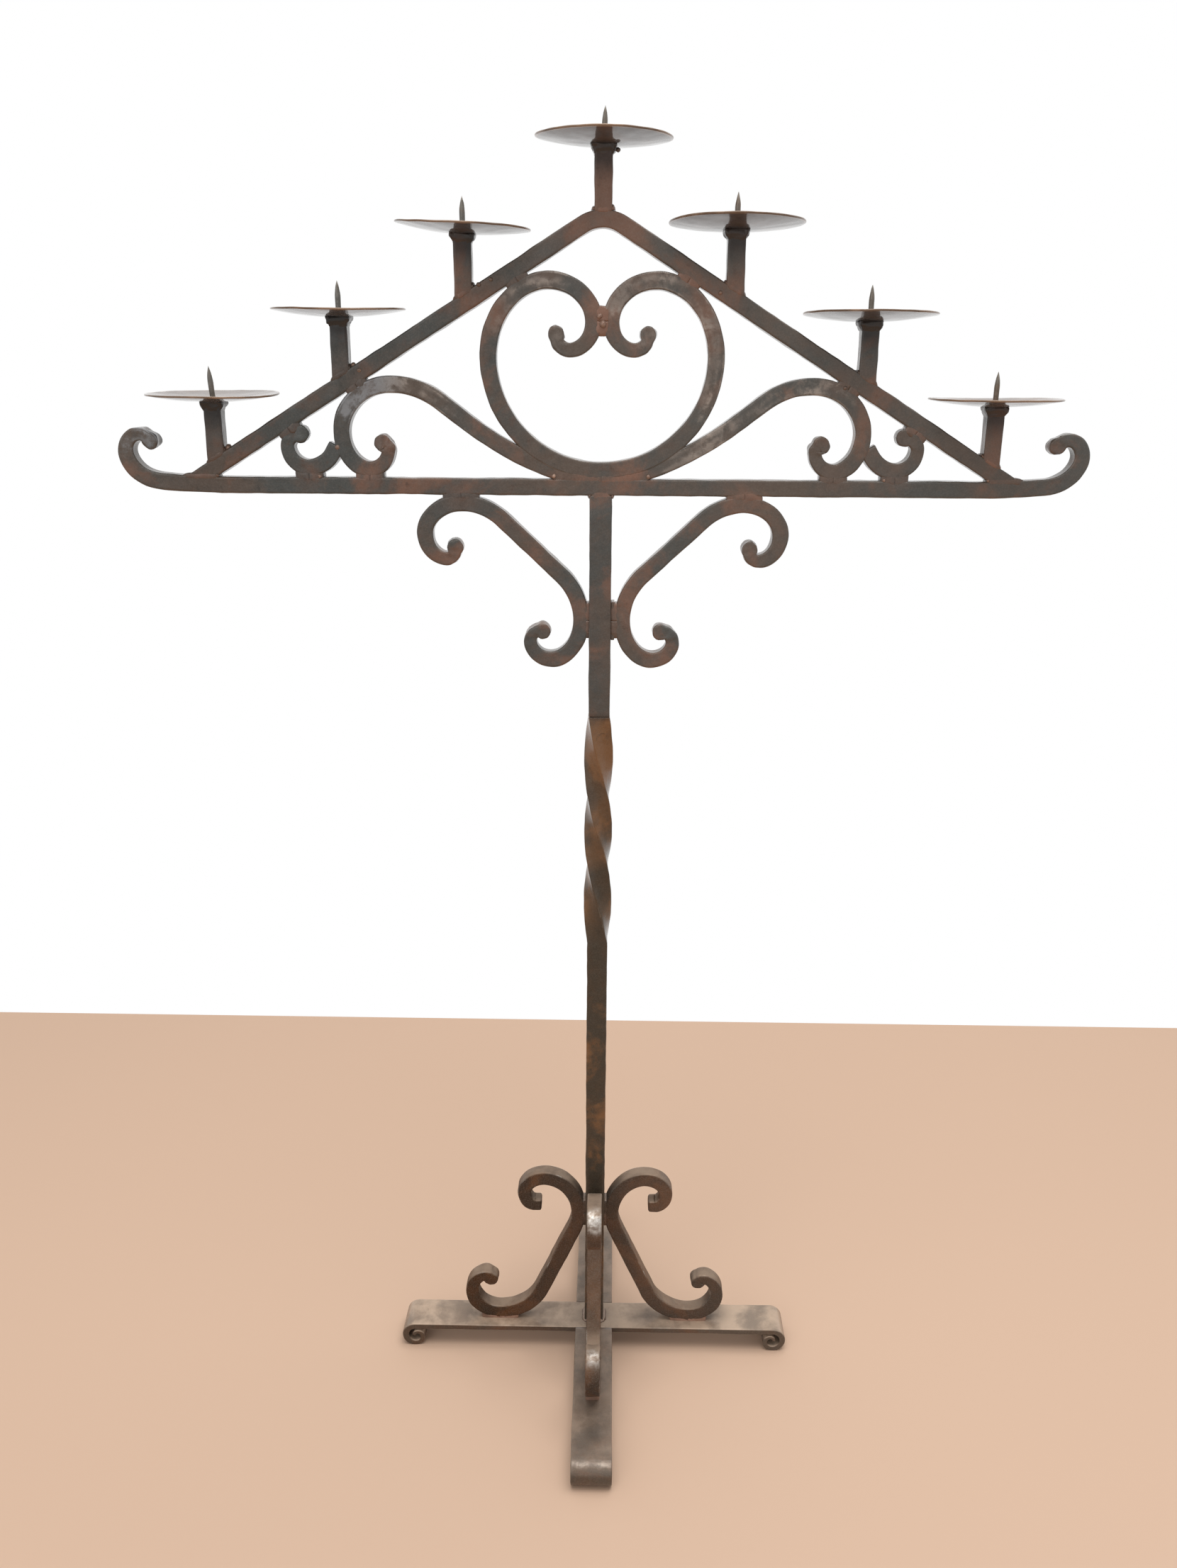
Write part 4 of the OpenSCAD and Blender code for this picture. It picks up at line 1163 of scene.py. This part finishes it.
def bead(shape, start, end, first, second, legs, seed, heat=WELD_HEAT):
    """Weld bead along a corner, from one point to another, with a leg on each face."""
    start, end, first, second = (np.array(v, float) for v in (start, end, first, second))
    length = np.linalg.norm(end - start)
    count = max(6, round(length / BEAD_STEP))
    rows = []
    for k in range(count + 1):
        share = k / count
        swell = 1 + RIPPLE_SHARE * math.sin(2 * math.pi * share * length / RIPPLE_RUN)
        swell *= min(1.0, 0.35 + 4 * min(share, 1 - share))
        corner = start + (end - start) * share
        inner = corner - BEAD_SUNK * (first + second)
        reach = legs[0] * swell * first
        rise = legs[1] * swell * second
        points = [inner, inner + reach + BEAD_SUNK * first]
        for angle in (15, 35, 55, 75):
            out, up = unit(angle)
            points.append(corner + 0.86 * (out * reach + up * rise))
        points.append(inner + rise + BEAD_SUNK * second)
        rows.append(points)
    shape.add(roughened(np.array(rows), RIPPLED, seed), heat=heat)


def drop(shape, x, y, z, radius, seed, heat=0.5):
    """Round lump of weld spatter."""
    profile = [(0.25, -0.97), (0.7, -0.7), (0.96, -0.25), (1.0, 0.1), (0.85, 0.52), (0.5, 0.86)]
    profile += [(0.15, 0.98)]
    rings = lathed([(radius * r, radius * h) for r, h in profile], DROP_POINTS)
    rings = roughened(rings, [(0.35 * radius, 1.3 * radius)], seed)
    shape.add(rings + (x, y, z), wear=heat, heat=heat)


def build_welds(shape, place, iron=WELD_IRON):
    shape.build(f"weld_beads_{place}", iron, f"welds_{place}", "weld_metal")


# Welds on the rail, and of the feet of the gable
shape = Shape()
wedges(shape, outline(heart_bar), (0, rail_top), X_WAY, Z_WAY, HEART_WELD, 200)
leg_in = (gable_reach - BAR_W / 2 - rail_top * math.cos(slope)) / math.sin(slope)
leg_out = leg_in + BAR_W / math.sin(slope)
for sign in (1, -1):
    seam_in = (sign * (leg_in - 2), rail_top)
    seam_out = (sign * (leg_out + 3), rail_top)
    strip(shape, seam_in, seam_out, Z_WAY, 3.4, BAR_W, 250 + sign)
    drop(shape, sign * HEART_WELD, -8.6, rail_top + 3, 2.4, 260 + sign, heat=0.9)
    drop(shape, sign * (leg_in - 1), -8.2, rail_top + 1.5, 2.0, 264 + sign)
    drop(shape, sign * (small_x - 12), -8.4, rail_top + 1, 1.8, 268 + sign)
drop(shape, 33 - small_x, -6.0, rail_top + 32, 3.4, 272, heat=0.8)
drop(shape, small_x - 31, -6.0, rail_top + 33, 2.8, 273, heat=0.4)
for seed, side, sign in ((210, "right", 1), (220, "left", -1)):
    for later, bars, x in ((0, side_bars, side_x), (20, small_bars, small_x)):
        seat = (sign * x, rail_top)
        wedges(shape, outline(bars[side]), seat, X_WAY, Z_WAY, SCROLL_WELD, seed + later)
build_welds(shape, "rail")

# Welds under the gable and between the lobes of the heart
shape = Shape()
for seed, side, sign in ((300, "right", 1), (320, "left", -1)):
    down_slope = np.array([sign * math.cos(slope), -math.sin(slope)])
    inward = np.array([-sign * math.sin(slope), -math.cos(slope)])
    gable_flat = (gable_reach - BAR_W / 2) * -inward
    for m, bar in enumerate((heart_bar, side_bars[side], small_bars[side])):
        polygon = outline(bar)
        highest = polygon[np.argmax(polygon @ -inward)]
        seat = gable_flat + ((highest - gable_flat) @ down_slope) * down_slope
        wedges(shape, polygon, seat, down_slope, inward, GABLE_WELD, seed + 4 * m)
meet_z = lobe_line[np.argmin(lobe_line[:, 0]), 1]
lobe = outline(stations(half_heart, End(BAR_W)))
lobe_looks = {"depth": BAR_W + 0.7, "lap": 6.5, "heat": LOBE_HEAT}
for seed, sign in ((350, 1), (352, -1)):
    way = sign * X_WAY
    wedges(shape, lobe * (sign, 1), (0, meet_z), Z_WAY, way, SCROLL_WELD, seed, **lobe_looks)
drop(shape, 0.5, -8.5, meet_z - 3, 4.2, 358, heat=0.9)
drop(shape, -3, -8.8, meet_z + 5, 3.0, 359, heat=0.8)
for k, (x, z) in enumerate(((-131, 1364), (-118, 1369), (124, 1357), (-262, 1277), (262, 1262))):
    drop(shape, x, -8.6, z, 2.4, 362 + k)
build_welds(shape, "gable")

# Welds of the brackets
shape = Shape()
for k, (side, sign) in enumerate((("right", 1), ("left", -1))):
    polygon = outline(bracket_bars[side])
    seat = (polygon[np.argmax(polygon[:, 1])][0], rail_z)
    wedges(shape, polygon, seat, X_WAY, -Z_WAY, BRACKET_WELD, 400 + 10 * k)
    nearest = polygon[np.argmin(sign * polygon[:, 0])]
    post_side = sign * POST_W / 2
    seat = (post_side + (plate_t if side == "right" else 0), nearest[1])
    wedges(shape, polygon, seat, Z_WAY, sign * X_WAY, BRACKET_WELD, 420 + 10 * k)
    corner_ends = [(post_side, y, rail_z) for y in (-BAR_W / 2, BAR_W / 2)]
    bead(shape, *corner_ends, (sign, 0, 0), (0, 0, -1), (2.6, 3.6), 440 + k)
seam_end = POST_W / 2 - 1.5
strip(shape, (-seam_end, rail_z), (seam_end, rail_z), Z_WAY, 5.0, BAR_W + 0.3, 444)
build_welds(shape, "brackets")

# Welds of the base
shape = Shape()
polygon = outline(base_bar)
foot_seat = (base_x, foot_top)
post_seat = (POST_W / 2, polygon[np.argmin(polygon[:, 0])][1])
for k in range(4):
    turn = 90 * k
    seed = 500 + 10 * k
    looks = {"depth": BASE_BAR_W, "turn": turn}
    hot = {"heat": FOOT_WELD_HEAT, **looks}
    wedges(shape, polygon, foot_seat, X_WAY, Z_WAY, BASE_FOOT_WELD, seed, **hot)
    wedges(shape, polygon, post_seat, Z_WAY, X_WAY, BRACKET_WELD, seed + 5, heat=0, **looks)
    first = np.array([*unit(turn), 0.0])
    corner = first * POST_W / 2 + (0, 0, foot_top)
    reach = np.array([*unit(turn + 90), 0.0]) * (POST_W / 2 + 1)
    bead(shape, corner - reach, corner + reach, first, (0, 0, 1), (4.2, 4.2), 560 + k)
build_welds(shape, "base", BASE_WELD_IRON)

# Welds of the stems
shape = Shape()
for number, (x, _) in enumerate(stem_places):
    fall = gable_fall(x)
    heat = STEM_HEAT[number]
    for side in (-1, 1):
        edge_x = x + side * STEM_W / 2
        edge_z = gable_top_z(x) - side * STEM_W / 2 * math.tan(fall)
        edge_ends = [(edge_x, y, edge_z) for y in (-BAR_W / 2 + 0.5, BAR_W / 2 - 0.5)]
        down = (side * math.cos(fall), 0, -side * math.sin(fall))
        legs = (3.0, 5.0 if side > 0 else 3.2)
        seed = 600 + 2 * number + side
        bead(shape, *edge_ends, down, (0, 0, 1), legs, seed, 0.4 + 0.7 * heat)
    seam = np.array([x, gable_top_z(x)])
    reach = np.array([math.cos(fall), -math.sin(fall)]) * (STEM_W / 2 - 1) / math.cos(fall)
    seam_up = (math.sin(fall), math.cos(fall))
    ends = (seam - reach, seam + reach)
    strip(shape, *ends, seam_up, 3.2, BAR_W + 0.7, 640 + number, 0.3 + 0.8 * heat)
    if number in (0, 1):
        drop(shape, edge_x + 4, -4, gable_top_z(edge_x) + 3, 4.2 - number, 660, heat=0.9)
build_welds(shape, "stems")

# Welds under the pans
shape = Shape()
for number, (x, top) in enumerate(stem_places):
    # The collars are darkened all over: painted shade under the pans
    shape.add(collar_rings(number, x, top), soot_and_shade=0.82)
x, top = stem_places[3]
drop(shape, x + 14.5, -3, top - 5, 2.6, 700, heat=0.0)
build_welds(shape, "pans")

# Floor: it ends where the photograph's wall stands, and the world behind it is white
FLOOR_BACK = 0.9
FLOOR_FRONT = -3.0
FLOOR_SIDE = 3.0
FLOOR_COLOUR = (0.77, 0.53, 0.38, 1)
floor_mesh = bpy.data.meshes.new("floor")
floor_corners = [(-FLOOR_SIDE, FLOOR_FRONT, 0), (FLOOR_SIDE, FLOOR_FRONT, 0)]
floor_corners += [(FLOOR_SIDE, FLOOR_BACK, 0), (-FLOOR_SIDE, FLOOR_BACK, 0)]
floor_mesh.from_pydata(floor_corners, [], [(0, 1, 2, 3)])
floor = new_object("floor", floor_mesh)
floor_paint, floor_shader = new_material("floor_paint")
floor_shader.inputs["Base Color"].default_value = FLOOR_COLOUR
floor_shader.inputs["Roughness"].default_value = 0.7
floor_mesh.materials.append(floor_paint)

# Light: a white surround seen by the camera and in gloss, and a softer one that lights
SEEN_STRENGTH = 1.0
LIT_STRENGTH = 0.42
world = bpy.data.worlds.new("surround")
bpy.context.scene.world = world
world.use_nodes = True
tree = world.node_tree
tree.nodes.clear()
rays = tree.nodes.new("ShaderNodeLightPath")
blend = tree.nodes.new("ShaderNodeMixShader")
surround = tree.nodes.new("ShaderNodeOutputWorld")
for place, strength in ((1, LIT_STRENGTH), (2, SEEN_STRENGTH)):
    backdrop = tree.nodes.new("ShaderNodeBackground")
    backdrop.inputs["Color"].default_value = (1, 1, 1, 1)
    backdrop.inputs["Strength"].default_value = strength
    tree.links.new(backdrop.outputs["Background"], blend.inputs[place])
white_to = rays.outputs["Is Camera Ray"]
for kind in ("Is Glossy Ray", "Is Transmission Ray"):
    either = tree.nodes.new("ShaderNodeMath")
    either.operation = "MAXIMUM"
    tree.links.new(white_to, either.inputs[0])
    tree.links.new(rays.outputs[kind], either.inputs[1])
    white_to = either.outputs["Value"]
tree.links.new(white_to, blend.inputs["Fac"])
tree.links.new(blend.outputs["Shader"], surround.inputs["Surface"])


def soft_lamp(name, place, target, size, power):
    """Oblong lamp that faces a target, in metres and watts."""
    data = bpy.data.lights.new(name, "AREA")
    data.shape = "RECTANGLE"
    data.size = size[0]
    data.size_y = size[1]
    data.energy = power
    lamp = new_object(name, data)
    lamp.location = place
    aim = Vector(target) - Vector(place)
    lamp.rotation_euler = aim.to_track_quat("-Z", "Y").to_euler()
    lamp.visible_camera = False


soft_lamp("ceiling_light", (0.3, -0.2, 3.4), target=(0, 0, 0.6), size=(3.0, 2.4), power=75)
soft_lamp("front_light", (-1.6, -2.8, 2.2), target=(0, 0, 0.8), size=(1.8, 1.8), power=14)

# Camera, as the photograph was taken: place in millimetres, turns in radians
CAMERA_PLACE = (10.81, -1448.02, 1280.06)
CAMERA_DOWN = 0.315614
CAMERA_LEFT = 0.015735
CAMERA_ROLL = -0.0059192
FOCAL_PIXELS = 1794.58
PHOTO_HEIGHT = 2212
SENSOR = 36.0
camera_data = bpy.data.cameras.new("camera")
camera_data.sensor_width = SENSOR
camera_data.lens = SENSOR * FOCAL_PIXELS / PHOTO_HEIGHT
camera = new_object("camera", camera_data)
to_left = Matrix.Rotation(CAMERA_LEFT, 4, "Z")
to_floor = Matrix.Rotation(math.pi / 2 - CAMERA_DOWN, 4, "X")
tilted = Matrix.Rotation(-CAMERA_ROLL, 4, "Z")
place = Matrix.Translation(Vector(CAMERA_PLACE) * MM)
camera.matrix_world = place @ to_left @ to_floor @ tilted
bpy.context.scene.camera = camera
bpy.context.scene.view_settings.view_transform = "Standard"
